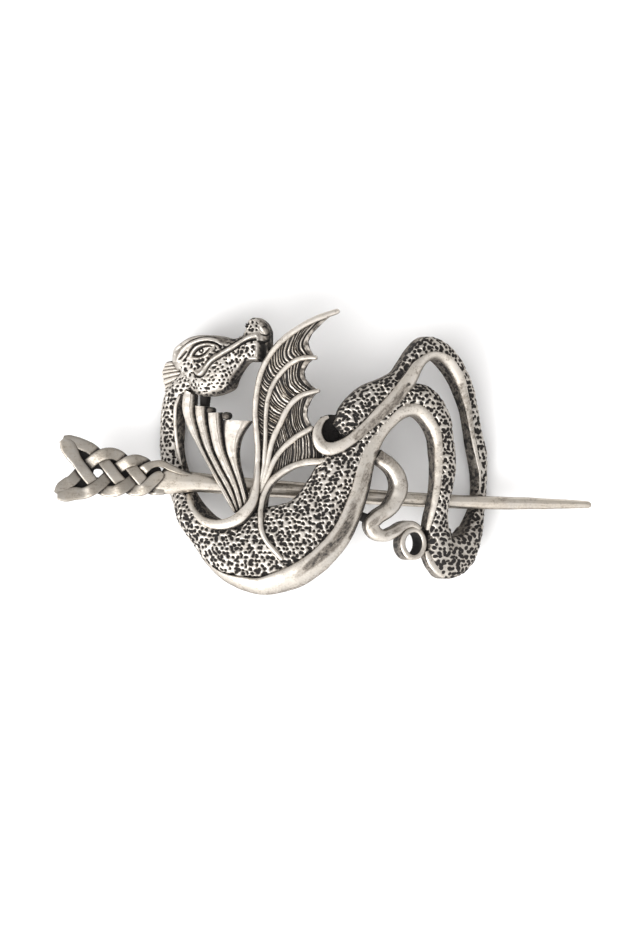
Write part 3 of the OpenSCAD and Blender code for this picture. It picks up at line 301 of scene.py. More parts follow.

# Dark brushed stains on the smooth bands and the curl, among them painted shade and a painted dark
# reflection: place in plan, half width and strength
STAINS_AND_SHADE = [
    # dark streak down the belly band: partly a brushed stain, partly a painted dark reflection
    [[6.4, -8.6, 0.7, 0.3], [5.6, -10.6, 1, 0.6], [4.8, -13.6, 1.2, 0.8], [3.2, -16.6, 1.3, 0.9],
     [1.2, -19, 1.3, 0.9], [-1.2, -21.2, 1.2, 0.9], [-3.2, -23, 1, 0.75], [-5.2, -24.6, 0.8, 0.4]],
    [[8.6, -2.6, 0.9, 0.5], [7.6, -6.2, 1, 0.5], [6.4, -9.4, 0.9, 0.4]],
    [[11.2, 0.2, 0.6, 0.5], [10.2, -2, 0.9, 0.8], [9.4, -5.6, 0.9, 0.95], [8.5, -9.4, 0.8, 0.95],
     [7.2, -13.2, 0.7, 0.85], [5.2, -17, 0.6, 0.6]],
    [[10.6, -0.6, 1.3, 0.9], [12, -1.4, 1.2, 0.8], [13.6, -2.6, 1, 0.5], [14.6, -4.4, 0.7, 0.3]],
    [[12, -12.6, 0.7, 0.4], [10.6, -13.4, 0.9, 0.5], [9, -14.8, 0.7, 0.5], [10, -16.2, 0.8, 0.4]],
    [[12.2, -16.6, 0.6, 0.5], [14.4, -15.6, 0.7, 0.5], [16.4, -14.6, 0.7, 0.4]],
    [[16.1, 13.5, 0.5, 1], [15.7, 13.2, 0.4, 0.9]],
    [[15.4, 12.6, 1.2, 0.6], [13, 9.4, 1.2, 0.65], [9.6, 6.2, 1.1, 0.65], [6, 3, 1, 0.6]],
    [[21.6, 8, 0.4, 0.3], [22.6, 4, 0.4, 0.5], [22.8, -2, 0.35, 0.6], [22.2, -8, 0.3, 0.6]],
    # partly tarnish, partly painted shade where the crest band turns away down the outer tail
    [[27, 13.4, 0.7, 0.5], [28.4, 9, 0.6, 0.5], [29.6, 3, 0.5, 0.55]],
    [[-0.9, 5.6, 0.6, 0.4], [-1.4, 3.4, 0.5, 0.4], [1.2, -0.2, 0.4, 0.4]],
]

# Thin rims: along the neck's inner edge, and round the foot of the heel
RIMS = [
    [[-28.6, 11.6, 0.5, 0.4, 0.4, 2], [-29.3, 9.4, 0.7, 0.6, 0.6, 2], [-29.6, 6.8, 0.7, 0.4, 0.4, 2],
     [-29.6, 3.6, 0.7, 0.1, 0.1, 1.8], [-29.5, 0.4, 0.7, -0.4, -0.4, 1.5], [-29.1, -2.6, 0.5, -0.8, -0.8, 1]],
    [[20.4, -19.8, 1, 0.3, 0.3, 1], [20.9, -21.2, 1.5, 0.6, 0.6, 1], [21.9, -22.9, 1.8, 0.8, 0.8, 1],
     [23.4, -24.2, 1.7, 0.7, 0.7, 1], [25.2, -24.8, 1, 0.4, 0.4, 1]],
]
# Low links in shadow: jaw to small wing, and belly to curl
LINKS = [
    [[-24.5, 12.6, 1.5, -0.9, -0.9, 0], [-24.5, 8.4, 1.5, -0.9, -0.9, 1]],
    [[5.6, -12, 1.8, -0.6, -0.6, 0], [10, -13.8, 1.8, -0.6, -0.6, 0.25]],
]
# Small bosses on top of the small wing: place in plan, height of the centre and radius
BOSSES = [[-22.7, 8.3, 0, 0.7], [-19.5, 7.2, 0, 0.8]]

# The stick has a frame of its own, with +X towards its tip
STICK_PLACE = (-26.8, -6)
# Columns of the pin: place along and across its axis, width and thickness
PIN = [
    [-7.4, -1.6, 1.6, 1.2], [-6.4, -0.9, 3.4, 1.7], [-5.2, 0, 5.4, 2.1], [-3.8, 0.15, 5.6, 2.3],
    [-2.4, 0, 4.8, 2.4], [-0.6, 0, 4.2, 2.4], [2, 0, 3.9, 2.4], [8, -0.2, 3.6, 2.4], [19, -0.4, 3.4, 2.35],
    [38, -0.9, 3, 2.3], [56, -0.8, 2.7, 2.2], [68, -0.4, 2.4, 2.1], [75, -0.1, 1.9, 1.8],
    [79.6, 0, 1.5, 1.4], [80.3, 0, 1.2, 1.1], [80.6, 0, 0.7, 0.6],
]
# Start of each strand in the fish tail: place along and across, width and height of its middle
FINS = [
    [[-26, 7.1, 1.6, 0.2], [-25, 5.9, 3.1, 0.2], [-24, 4.4, 3, 0.3]],
    [[-26, 7.1, 1.6, 0.1], [-25, 6.8, 2.6, 0.1], [-23.1, 6.5, 2.5, 0]],
    [[-26.4, -4, 1.6, 0], [-25.6, -2.8, 2.6, 0], [-24.6, -1.7, 2.5, 0]],
    [[-26.4, -4.2, 1.6, 0.1], [-25, -4.1, 2.7, 0.1], [-23, -3.6, 2.7, 0.1]],
]
# Turns at which each strand joins the plait and leaves it, a turn being the way past one crossing
JOINS = [-0.2, 0.05, -0.3, 0.05]
LEAVES = [2.05, 2.3, 2.7, 2.45]
# End of each strand: over the shoulder's upper edge, on top of it, into its lower edge, and under
ENDS = [
    [[-9.2, 2.1, 2, 0.5], [-7.8, 3, 1.5, 0.5], [-6, 3.3, 1.4, 0.5], [-3.8, 2.5, 1.3, 0.5],
     [-1.8, 1.8, 0.9, 0.5], [0.2, 1.4, 0.3, 0.2]],
    [[-8.1, -0.9, 2.4, 0.7], [-7, 0.3, 2.4, 0.8], [-6.1, 1.1, 1.9, 0.8], [-5.7, 1.5, 1, 0.8]],
    [[-6.8, -2, 2, -0.1], [-5.2, -1.8, 2, 0]],
    [[-8, 2.2, 2, -0.6]],
]
# Floor behind the strands, which leaves one hole open, and the heights of its two faces
KNOT_FLOOR = [
    [-24.6, 6.1], [-21.6, 5], [-18.5, 4.4], [-15.6, 3.9], [-12.9, 3.4], [-10.5, 3], [-8.2, 2.6],
    [-6, 2.3], [-6, -1.5], [-8.2, -1.6], [-10.5, -1.6], [-12.9, -1.8], [-15.6, -2], [-18.5, -2.2],
    [-21.6, -2.6], [-24.2, -3.8], [-25.6, -3.5], [-24.4, -1.5], [-22.9, 0.6], [-23.4, 2.8], [-24.6, 4.8],
]
KNOT_HOLE = [[-19.4, 0], [-19.3, 1.3], [-18.1, 1.5], [-17.5, 0.8], [-18.3, -0.1]]
FLOOR_HEIGHTS = [-1.3, -0.5]


# Sizes and colours
class SlideSizes(bpy.types.PropertyGroup):
    """Sizes of the dragon slide"""

    arch_radius: FloatProperty(name="Arch Radius", description="Radius of the arch that the slide is bent to",
                               default=50 * MM, min=49 * MM, max=52 * MM, unit="LENGTH")
    crown_height: FloatProperty(
        name="Crown Height", description="Height of the shoulder line at the arch's crown",
        default=14.4 * MM, min=14.2 * MM, max=14.5 * MM, unit="LENGTH",
    )
    cast_depth: FloatProperty(
        name="Casting Depth", description="Depth of the casting below its shoulder line",
        default=3 * MM, min=2.9 * MM, max=3.1 * MM, unit="LENGTH",
    )
    body_dome: FloatProperty(name="Body Dome", description="Greatest height of the body above its shoulders",
                             default=2.4 * MM, min=2 * MM, max=2.6 * MM, unit="LENGTH")
    web_height: FloatProperty(
        name="Web Height", description="Height of the wing's webs above the shoulder line",
        default=0.5 * MM, min=0.3 * MM, max=0.7 * MM, unit="LENGTH",
    )
    pit_depth: FloatProperty(name="Pit Depth", description="Depth of the pits in the dragon's hide",
                             default=0.36 * MM, min=0, max=0.5 * MM, unit="LENGTH")
    pit_spacing: FloatProperty(
        name="Pit Spacing", description="Distance from one pit of the hide to the next",
        default=0.98 * MM, min=0.7 * MM, max=1.6 * MM, unit="LENGTH",
    )


class StickSizes(bpy.types.PropertyGroup):
    """Sizes of the hair stick"""

    axis_height: FloatProperty(
        name="Axis Height", description="Height of the axis where the pin meets the neck",
        default=7.15 * MM, min=7 * MM, max=7.3 * MM, unit="LENGTH",
    )
    fall: FloatProperty(name="Fall", description="Fall of the stick towards its tip",
                        default=math.radians(2.1), subtype="ANGLE")
    turn: FloatProperty(name="Turn", description="Turn of the stick in plan, clockwise",
                        default=math.radians(3.3), subtype="ANGLE")
    plait_width: FloatProperty(name="Strand Width", description="Width of the plaited strands",
                               default=2.4 * MM, min=2.2 * MM, max=2.6 * MM, unit="LENGTH")
    plait_thickness: FloatProperty(name="Strand Thickness", description="Thickness of the plaited strands",
                                   default=1.5 * MM, min=1.3 * MM, max=1.7 * MM, unit="LENGTH")
    plait_weave: FloatProperty(name="Weave", description="How far the strands weave above and below the axis",
                               default=0.6 * MM, min=0.4 * MM, max=0.8 * MM, unit="LENGTH")


class SilverColours(bpy.types.PropertyGroup):
    """Colours of the antique silver"""

    polished: FloatVectorProperty(name="Polished", description="Colour of the rubbed high places",
                                  default=(0.55, 0.53, 0.505), size=3, subtype="COLOR", min=0, max=1)
    tarnished: FloatVectorProperty(name="Tarnished", description="Colour of the thin brown tarnish",
                                   default=(0.17, 0.145, 0.12), size=3, subtype="COLOR", min=0, max=1)
    # the black of pits and recesses, which is also the colour of the painted shade
    blackened_and_shade: FloatVectorProperty(name="Blackened", description="Colour of the black in pits and recesses",
                                   default=(0.016, 0.014, 0.013), size=3, subtype="COLOR", min=0, max=1)


class StageSetting(bpy.types.PropertyGroup):
    """Floor, light and camera"""

    floor_colour: FloatVectorProperty(name="Floor", description="Colour of the pale floor",
                                      default=(0.90, 0.895, 0.89), size=3, subtype="COLOR", min=0, max=1)
    near_colour: FloatVectorProperty(name="Near Wall", description="Colour of the light from the near side",
                                     default=(2.0, 2.0, 2.0), size=3, subtype="COLOR", min=0, max=4)
    ceiling_colour: FloatVectorProperty(name="Ceiling", description="Colour of the light from straight above",
                                        default=(1.3, 1.3, 1.31), size=3, subtype="COLOR", min=0, max=4)
    far_colour: FloatVectorProperty(name="Far Wall", description="Colour of the light from the far side",
                                    default=(0.82, 0.81, 0.80), size=3, subtype="COLOR", min=0, max=4)
    window_power: FloatProperty(name="Window Power", description="Strength of the large soft light, in watts",
                                default=11.0, min=0)
    view_width: FloatProperty(name="View Width", description="Width of the picture at the slide's height",
                              default=124.2 * MM, unit="LENGTH")
    camera_distance: FloatProperty(name="Camera Distance", description="Height of the camera above the slide",
                                   default=1.5, unit="LENGTH")


def slide_size(name):
    """A size of the slide, in millimetres."""
    return getattr(bpy.context.scene.slide_sizes, name) / MM


def stick_size(name):
    """A size of the stick, in millimetres."""
    return getattr(bpy.context.scene.stick_sizes, name) / MM


# Laying out and bending
def arched(flat):
    """Flat places [x, y, height] laid on the arch, and set down on the surface."""
    radius, crown = slide_size("arch_radius"), slide_size("crown_height")
    stretch = 1 + flat[..., 2] / radius
    z = np.sqrt(radius**2 - flat[..., 0] ** 2) * stretch - radius + crown
    return np.stack([flat[..., 0] * stretch, flat[..., 1], np.maximum(z, 0)], axis=-1)


def flattened(places):
    """Places on the arch laid flat again."""
    radius, crown = slide_size("arch_radius"), slide_size("crown_height")
    reach = np.hypot(places[:, 0], places[:, 2] + radius - crown)
    return np.stack([places[:, 0] * radius / reach, places[:, 1], reach - radius], axis=-1)


LAST_ROW = 1e9  # stands for the last row of any table


def smoothed(rows, spacing, part=(0, LAST_ROW)):
    """Smooth curve through the rows of a table, cut into even steps, from one row to another."""
    rows = np.array(rows, float)
    rows = np.column_stack([rows, np.arange(len(rows))])
    held = np.vstack([rows[:1], rows, rows[-1:]])
    t = np.linspace(0, 1, 20, endpoint=False)[:, None]
    spans = [
        (2 * b + (c - a) * t + (2 * a - 5 * b + 4 * c - d) * t**2 + (3 * b - a - 3 * c + d) * t**3) / 2
        for a, b, c, d in zip(held, held[1:], held[2:], held[3:])
    ]
    fine = np.vstack([*spans, rows[-1:]])
    fine = fine[(fine[:, -1] >= part[0] - 1e-6) & (fine[:, -1] <= part[1] + 1e-6)]
    length = np.r_[0, np.cumsum(np.hypot(*np.diff(fine[:, :2], axis=0).T))]
    even = np.linspace(0, length[-1], max(3, round(length[-1] / spacing) + 1))
    return np.column_stack([np.interp(even, length, column) for column in fine.T[:-1]])


def closed(outline, spacing):
    """Smooth closed line round an outline, cut into even steps."""
    return smoothed([*outline, outline[0]], spacing)[:-1]


def part_way(line, share):
    """Places at shares of the way along a line."""
    steps = np.linspace(0, 1, len(line))
    return np.stack([np.interp(share, steps, line[:, c]) for c in (X, Y)], axis=-1)


def spanned(left, right, share):
    """Places at shares of the way from one line over to another."""
    return left * (1 - share[..., None]) + right * share[..., None]


def sideways(path):
    """Direction to the right of a path at each of its points."""
    run = np.gradient(path[:, :2], axis=0)
    run /= np.linalg.norm(run, axis=1)[:, None]
    return np.stack([run[:, 1], -run[:, 0]], axis=-1)


def smoothstep(low, high, value):
    """0 below low, 1 above high, and smooth between them."""
    share = np.clip((value - low) / (high - low), 0, 1)
    return share * share * (3 - 2 * share)


def domed(gap, reach, height):
    """Height of a quarter-round edge, at distances from its outline."""
    return height * np.sqrt(1 - (1 - np.clip(gap / reach, 0, 1)) ** 2)


def hump(value, middle, half):
    """1 in the middle of a rounded ridge, and falling to 0 on both sides."""
    return np.exp(-((value - middle) / half) ** 2)


def outward(points):
    """Outward directions on a tube of cross-sections that run from left to right."""
    along = np.gradient(points, axis=0)
    across = np.roll(points, -1, axis=1) - np.roll(points, 1, axis=1)
    out = np.cross(across, along)
    return out / np.maximum(np.linalg.norm(out, axis=2), 1e-9)[..., None]


def near_line(places, rows, spacing=0.25):
    """For each place, the distance to the nearest point of a line and the line's columns there."""
    line = smoothed(rows, spacing) if len(rows) > 2 else np.array(rows, float)
    best = np.full(len(places), 1e9)
    found = np.zeros((len(places), line.shape[1]))
    for a, b in zip(line, line[1:]):
        run = b[:2] - a[:2]
        share = np.clip((places - a[:2]) @ run / max(run @ run, 1e-9), 0, 1)
        gap = np.hypot(*(places - a[:2] - share[:, None] * run).T)
        closer = gap < best
        best[closer] = gap[closer]
        found[closer] = a + share[closer, None] * (b - a)
    return best, found


SCATTER = np.random.default_rng(7).random((89, 97, 6))
PIT_SCATTER = 0.6  # how far a pit may lie from its place in the rows, as a share of their spacing
PIT_SIZES = (0.27, 0.43)  # smallest and largest radius of a pit, as a share of the spacing
PIT_ROWS = 0.87  # distance from row to row, as a share of the spacing


def pits(places, spacing, swell=0):
    """Depth of the hide's pits at each place, from 0 on the ridges between them to 1 inside.

    swell makes the pits larger or smaller in places, as a share of their spacing."""
    bent = [waves(places, 0.9, seed) * 0.14 + waves(places, 0.4, seed + 2) * 0.08 for seed in (81, 82)]
    x, y = places[..., 0] + bent[0] * spacing, places[..., 1] + bent[1] * spacing
    depth = np.zeros(places.shape[:-1])
    tall = spacing * PIT_ROWS
    row = np.floor(y / tall).astype(int)
    for j in (-1, 0, 1):
        level = row + j
        shift = 0.5 * (level % 2)
        column = np.floor(x / spacing - shift).astype(int)
        for i in (-1, 0, 1):
            dice = SCATTER[(column + i) % 89, level % 97]
            right = x - (column + i + 0.5 + shift + PIT_SCATTER * (dice[..., 0] - 0.5)) * spacing
            up = y - (level + 0.5 + PIT_SCATTER * (dice[..., 1] - 0.5)) * tall
            turn = dice[..., 2] * np.pi
            along = right * np.cos(turn) + up * np.sin(turn)
            side = up * np.cos(turn) - right * np.sin(turn)
            size = spacing * (PIT_SIZES[0] + (PIT_SIZES[1] - PIT_SIZES[0]) * dice[..., 3] + swell)
            reach = np.hypot(along / (1 + 0.9 * dice[..., 4] ** 2), side) / size
            depth = np.maximum(depth, 1 - smoothstep(0.3, 1.4, reach))
    return depth


def pit_black(depth):
    """Blackening of pits by their depth."""
    return smoothstep(0.28, 0.72, depth)


def waves(places, size, seed):
    """Smooth random heights between -1 and 1 at places in plan, with bumps of about a size."""
    grid = np.random.default_rng(seed).random((61, 67)) * 2 - 1
    at = places / size
    low = np.floor(at).astype(int)
    part = at - low
    part = part * part * (3 - 2 * part)
    total = 0
    for i in (0, 1):
        for j in (0, 1):
            share = (part[..., 0] if i else 1 - part[..., 0]) * (part[..., 1] if j else 1 - part[..., 1])
            total = total + share * grid[(low[..., 0] + i) % 61, (low[..., 1] + j) % 67]
    return total


# Pieces and their meshes
def pick_nothing():
    """Leaves no object picked, and no mesh open."""
    if bpy.context.object and bpy.context.object.mode != "OBJECT":
        bpy.ops.object.mode_set(mode="OBJECT")
    bpy.ops.object.select_all(action="DESELECT")


def named(name):
    """The object that was just added, under its name."""
    piece = bpy.context.object
    piece.name = piece.data.name = name
    return piece


def corners_of(piece):
    """Places of a piece's corners, in millimetres."""
    corners = np.empty(len(piece.data.vertices) * 3, np.float32)
    piece.data.vertices.foreach_get("co", corners)
    return corners.reshape(-1, 3).astype(float) / MM


def move_corners(piece, points):
    """Moves a piece's corners to points in millimetres."""
    piece.data.vertices.foreach_set("co", (points * MM).astype(np.float32).ravel())


def mark(piece, name, values):
    """Gives each corner of a piece a value that its silver reads."""
    layer = piece.data.attributes.new(name, "FLOAT", "POINT")
    layer.data.foreach_set("value", np.asarray(values, np.float32).ravel())


def pick_open_edges():
    """In edit mode, picks the edges of a mesh's open ends."""
    bpy.ops.mesh.select_all(action="DESELECT")
    bpy.ops.mesh.select_non_manifold(extend=False, use_wire=False, use_multi_face=False,
                                     use_non_contiguous=False, use_verts=False)


def face_outwards():
    """In edit mode, turns all the faces of a mesh outwards."""
    bpy.ops.mesh.select_all(action="SELECT")
    bpy.ops.mesh.normals_make_consistent(inside=False)


def lay_grid(name, points, dark, angle=40):
    """Adds a grid, rolls it up on a tube of cross-sections in millimetres, and closes it.

    dark is the blackening of each point from 0 to 1, painted shade included, before that of the
    recesses, and angle the angle in degrees from which an edge looks sharp."""
    points, dark = (np.concatenate([values, values[:, :1]], axis=1) for values in (points, dark))
    rings, columns = points.shape[:2]
    pick_nothing()
    bpy.ops.mesh.primitive_grid_add(x_subdivisions=columns - 1, y_subdivisions=rings - 1, size=0.01)
    piece = named(name)
    mesh = piece.data
    if len(mesh.vertices) != rings * columns:
        raise RuntimeError(f"{name}: the grid has {len(mesh.vertices)} corners, not {rings * columns}")
    for layer in list(mesh.uv_layers):
        mesh.uv_layers.remove(layer)
    move_corners(piece, points)
    mark(piece, "pit", dark)
    bpy.ops.object.mode_set(mode="EDIT")
    bpy.ops.mesh.select_all(action="SELECT")
    bpy.ops.mesh.remove_doubles(threshold=2e-6)
    bpy.ops.mesh.select_mode(type="VERT")
    pick_open_edges()
    bpy.ops.mesh.fill_holes(sides=0)
    face_outwards()
    bpy.ops.mesh.select_all(action="DESELECT")
    bpy.ops.object.mode_set(mode="OBJECT")
    bpy.ops.object.shade_smooth_by_angle(angle=math.radians(angle))
    return piece


def finish_piece(piece, body, node, material):
    """Gives a piece its metal and its body, and hides the casting that it stands for."""
    piece.data.materials.clear()
    piece.data.materials.append(material)
    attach(piece, body)
    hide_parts(node)


def slide_piece(piece, material):
    finish_piece(piece, "slide", "dragon_slide", material)


def slide_grid(name, flat, dark, material, angle=40):
    """A piece of the slide from flat cross-sections, laid on the arch."""
    slide_piece(lay_grid(name, arched(flat), dark, angle), material)


def stick_piece(piece, material):
    finish_piece(piece, "stick", "hair_stick", material)


# Strands
WALL, UNDER = 6, 4  # points of a cross-section down each wall, and across the back
FOOT, FOOT_SHARE, FOOT_RISE = 0.45, 0.25, 0.3  # rounding at the foot: in mm, and of the width and wall
OVER_TOP = 64  # steps over a dome from which its even columns are taken
HIDDEN = 9.0  # place across the strand that stands for its back, where there are no pits


def strand(path, columns, dome=0.42, limit=None):
    """Cross-sections of a strand: flat points, places unrolled round them, and the top's share.

    The columns run over the dome from left to right, down the wall, across the back and up. dome
    is the height of the dome as a share of the width, and limit its height at most."""
    limit = slide_size("body_dome") if limit is None else limit
    back = path[:, LIFT] - slide_size("cast_depth")
    half = path[:, W] / 2
    swell = np.minimum(dome * path[:, W], limit)
    # over the dome, in columns that are evenly spaced along its curve
    turn = np.linspace(0, np.pi, OVER_TOP + 1)
    share = (1 - np.cos(turn)) / 2
    fine_x = -half[:, None] * np.cos(turn)
    fine_z = path[:, LEFT, None] * (1 - share) + path[:, RIGHT, None] * share + swell[:, None] * np.sin(turn)
    run = np.cumsum(np.hypot(np.diff(fine_x, axis=1), np.diff(fine_z, axis=1)), axis=1)
    run = np.column_stack([np.zeros(len(path)), run])
    even = np.linspace(0, 1, columns)
    top_x = np.array([np.interp(even * r[-1], r, x) for r, x in zip(run, fine_x)])
    top_z = np.array([np.interp(even * r[-1], r, z) for r, z in zip(run, fine_z)])
    top_run = even * run[:, -1:] - run[:, OVER_TOP // 2, None]
    # down the walls, round the feet and across the back
    foot = np.minimum(FOOT, FOOT_SHARE * path[:, W])
    foot = np.minimum(foot, FOOT_RISE * (np.minimum(path[:, LEFT], path[:, RIGHT]) - back))
    down = np.linspace(0, 1, WALL + 1)[1:]
    right_z = path[:, RIGHT, None] + (back + foot - path[:, RIGHT])[:, None] * down
    left_z = path[:, LEFT, None] + (back + foot - path[:, LEFT])[:, None] * down
    bend = np.radians([30, 60, 90])
    corner_x = half[:, None] - foot[:, None] * (1 - np.cos(bend))
    corner_z = (back + foot)[:, None] - foot[:, None] * np.sin(bend)
    flat_x = (half - foot)[:, None] * np.linspace(1, -1, UNDER + 2)[1:-1]
    flat_z = np.repeat(back[:, None], UNDER, axis=1)
    wide = np.repeat(half[:, None], WALL, axis=1)
    q = np.column_stack([top_x, wide, corner_x, flat_x, -corner_x[:, ::-1], -wide])
    z = np.column_stack([top_z, right_z, corner_z, flat_z, corner_z[:, ::-1], left_z[:, ::-1]])
    # how far each point lies from the middle of the dome, measured over the skin
    right_wall, left_wall = path[:, RIGHT, None] - right_z, (path[:, LEFT, None] - left_z)[:, ::-1]
    behind = np.full((len(path), 2 * len(bend) + UNDER), HIDDEN)
    unrolled = np.column_stack([top_run, top_run[:, -1:] + right_wall, behind, top_run[:, :1] - left_wall])
    on_top = np.column_stack([
        np.ones_like(top_x), 1 - smoothstep(0.2, 1.2, right_wall),
        np.zeros_like(behind), 1 - smoothstep(0.2, 1.2, left_wall),
    ])
    side = sideways(path)
    x, y, place_x, place_y = (path[:, c, None] + side[:, c, None] * reach
                              for reach in (q, unrolled) for c in (X, Y))
    return np.stack([x, y, z], axis=-1), np.stack([place_x, place_y], axis=-1), on_top


def pitted(flat, places, amount, swell):
    """Sinks the pits of the hide into flat points, and returns them with their blackening.

    They are shallower on the sides, where the skin of the casting is tight."""
    out = outward(flat)
    depth = pits(places, slide_size("pit_spacing"), swell) * amount
    sunk = depth * slide_size("pit_depth") * (0.45 + 0.55 * smoothstep(0.4, 0.95, out[..., 2]))
    lumps = waves(places, 0.35, 3) * 0.03 * amount
    return flat + out * (lumps - sunk)[..., None], pit_black(depth)


def hide_strand(name, rows, spacing, columns, swell, part=(0, LAST_ROW)):
    """A pitted strand of the slide, from one row of a table to another."""
    flat, places, on_top = strand(smoothed(rows, spacing, part), columns)
    flat, dark = pitted(flat, places, on_top, swell)
    slide_grid(name, flat, dark, hide_silver())


def rounded_end(path):
    """A path whose width closes in a half circle at its end."""
    length = np.r_[0, np.cumsum(np.hypot(*np.diff(path[:, :2], axis=0).T))]
    half = path[-1, W] / 2
    near_end = length[-1] - half * (1 - np.sin(np.linspace(0, np.pi / 2, 7)[1:-1]))
    steps = np.sort(np.r_[length[length < length[-1] - half], near_end, length[-1] - 0.02 * half])
    path = np.column_stack([np.interp(steps, length, column) for column in path.T])
    path[:, W] *= domed(length[-1] - steps, half, 1)
    return path


def smooth_strand(name, rows, metal, spacing, columns, wobble=0.02, dark=None, blunt=False, **shape):
    """A smooth band or rib of the slide, with the slight unevenness of hand finishing.

    wobble is how uneven it is in mm, dark gives its blackening, which carries stains and painted shade, and
    blunt rounds its end."""
    path = smoothed(rows, spacing)
    if blunt:
        path = rounded_end(path)
    flat, places, on_top = strand(path, columns, **shape)
    flat = flat + outward(flat) * (waves(places, 1.3, 5) * wobble * on_top)[..., None]
    slide_grid(name, flat, dark(flat, on_top) if dark else np.zeros_like(on_top), metal)


def band_stains_and_shade(flat, on_top):
    """Blackening of the smooth bands and the curl, by stains and painted shade."""
    return stained_and_shaded(flat, STAINS_AND_SHADE) * on_top


def raised(places, strokes):
    """Height and blackening that strokes add at each place in plan."""
    height, dark = np.zeros(len(places)), np.zeros(len(places))
    for rows in strokes:
        gap, found = near_line(places, rows)
        bump = np.clip(1 - (gap / np.maximum(found[:, 2], 1e-3)) ** 2, 0, 1) ** 1.5
        height += bump * found[:, 3]
        dark = np.maximum(dark, bump * np.clip(-found[:, 3] * 2.2, 0, 1))
    return height, dark


# Plates and pads
PLATE_END = (1, 0.7, 0.35)  # how far the top is let down onto the back, at the ends of a plate
PLATE_WALL, PAD_WALL = 5, 6  # steps down the walls of a plate and of a pad
BACK_POINTS = 5  # columns of the top for each column of a plate's back


def plate(top, height, back):
    """Cross-sections of a plate: its top from left to right, a wall, its flat back and a wall.

    At both ends the top is let down onto the back, so that the plate's outline may curve there."""
    drop = [*PLATE_END, *[0] * len(top), *PLATE_END[::-1]]
    row = np.clip(np.arange(len(drop)) - len(PLATE_END), 0, len(top) - 1)
    drop = np.array(drop)[:, None]
    plan = top[row]
    high = height[row] * (1 - drop) + back * drop
    upper = np.concatenate([plan, high[..., None]], axis=-1)
    lower = np.concatenate([plan, np.full_like(high, back)[..., None]], axis=-1)
    down = np.linspace(0, 1, PLATE_WALL + 1)[None, 1:-1, None]
    right = upper[:, -1:] + (lower[:, -1:] - upper[:, -1:]) * down
    left = lower[:, :1] + (upper[:, :1] - lower[:, :1]) * down
    columns = top.shape[1]
    behind = np.linspace(columns - 1, 0, max(2, columns // BACK_POINTS)).astype(int)
    return np.concatenate([upper, right, lower[:, behind], left], axis=1)


def on_plate(values, points):
    """Values of a plate's top, carried over to all the points of the plate."""
    spread = np.zeros(points.shape[:2])
    spread[len(PLATE_END):-len(PLATE_END), :values.shape[1]] = values
    return spread


def painted(places, strokes, inner, outer):
    """Strength of strokes at places in plan, which fades from inner to outer, in half widths."""
    shade = np.zeros(len(places))
    for rows in strokes:
        gap, found = near_line(places, rows)
        strength = found[:, 3] if found.shape[1] > 3 else 1
        shade = np.maximum(shade, strength * (1 - smoothstep(inner, outer, gap / found[:, 2])))
    return shade


def stained_and_shaded(flat, strokes):
    """Blackening of dark brushed stains and of painted shade, laid in strokes at places in plan."""
    shade = painted(flat[..., :2].reshape(-1, 2), strokes, 0.35, 1.1).reshape(flat.shape[:2])
    brush = waves(flat[..., :2] @ [[0.8, 0.6], [-0.6, 0.8]] * (1, 0.3), 0.22, 91)
    return np.clip(shade * (0.6 + 0.22 * brush + 0.08 * waves(flat[..., :2], 0.9, 92)), 0, 0.75)


def pad(outline, ridge, height_at, levels):
    """Rings from the middle of an outline to its edge, down its wall and in to its back."""
    loop = closed(outline, 0.14)
    back = -slide_size("cast_depth")
    a, b = np.array(ridge, float)
    run = b - a
    share = np.clip((loop - a) @ run / (run @ run), 0, 1)
    core = a + share[:, None] * run
    reach = np.sin(np.linspace(0, np.pi / 2, levels))
    top = core + (loop - core) * reach[:, None, None]
    height = height_at(top.reshape(-1, 2)).reshape(top.shape[:2])
    rings = [*np.concatenate([top, height[..., None]], axis=-1)]
    for down in np.linspace(0, 1, PAD_WALL + 1)[1:]:
        rings.append(np.column_stack([loop, height[-1] + (back - height[-1]) * down]))
    for inwards in (0.7, 0.35, 0):
        rings.append(np.column_stack([core + (loop - core) * inwards, np.full(len(loop), back)]))
    return np.array(rings)[:, ::-1]


# Silver
class Value:
    """A number that varies over a surface, on which sums are written as on a plain number."""

    def __init__(self, shader, socket):
        self.shader, self.socket = shader, socket

    def _sum(self, operation, a, b):
        node = self.shader.node("ShaderNodeMath", {"operation": operation}, {0: a, 1: b})
        return Value(self.shader, node.outputs[0])

    def __add__(self, other):
        return self._sum("ADD", self, other)

    def __radd__(self, other):
        return self._sum("ADD", other, self)

    def __sub__(self, other):
        return self._sum("SUBTRACT", self, other)

    def __rsub__(self, other):
        return self._sum("SUBTRACT", other, self)

    def __mul__(self, other):
        return self._sum("MULTIPLY", self, other)

    def __rmul__(self, other):
        return self._sum("MULTIPLY", other, self)

    def at_least(self, other):
        return self._sum("MAXIMUM", self, other)

    def between(self, low, high):
        """0 below low, 1 above high, and smooth between them."""
        ranges = {"Value": self, "From Min": low, "From Max": high}
        node = self.shader.node("ShaderNodeMapRange", {"interpolation_type": "SMOOTHSTEP"}, ranges)
        return Value(self.shader, node.outputs["Result"])


class Shader:
    """The nodes of a material or of the room, added one by one."""

    def __init__(self, owner):
        owner.use_nodes = True
        self.tree = owner.node_tree
        self.tree.nodes.clear()

    def node(self, kind, settings=None, values=None):
        """Adds a node, sets its settings, and then fills or links its sockets."""
        node = self.tree.nodes.new(kind)
        for key, value in (settings or {}).items():
            if key == "stops":
                ramp = node.color_ramp
                while len(ramp.elements) < len(value):
                    ramp.elements.new(0.5)
                for element, (position, colour) in zip(ramp.elements, value):
                    element.position, element.color = position, (*colour, 1)
            else:
                setattr(node, key, value)
        for key, value in (values or {}).items():
            socket = node.inputs[key]
            value = value.socket if isinstance(value, Value) else value
            if isinstance(value, bpy.types.NodeSocket):
                self.tree.links.new(value, socket)
            elif socket.type == "RGBA" and len(value) == 3:
                socket.default_value = (*value, 1)
            else:
                socket.default_value = value
        return node


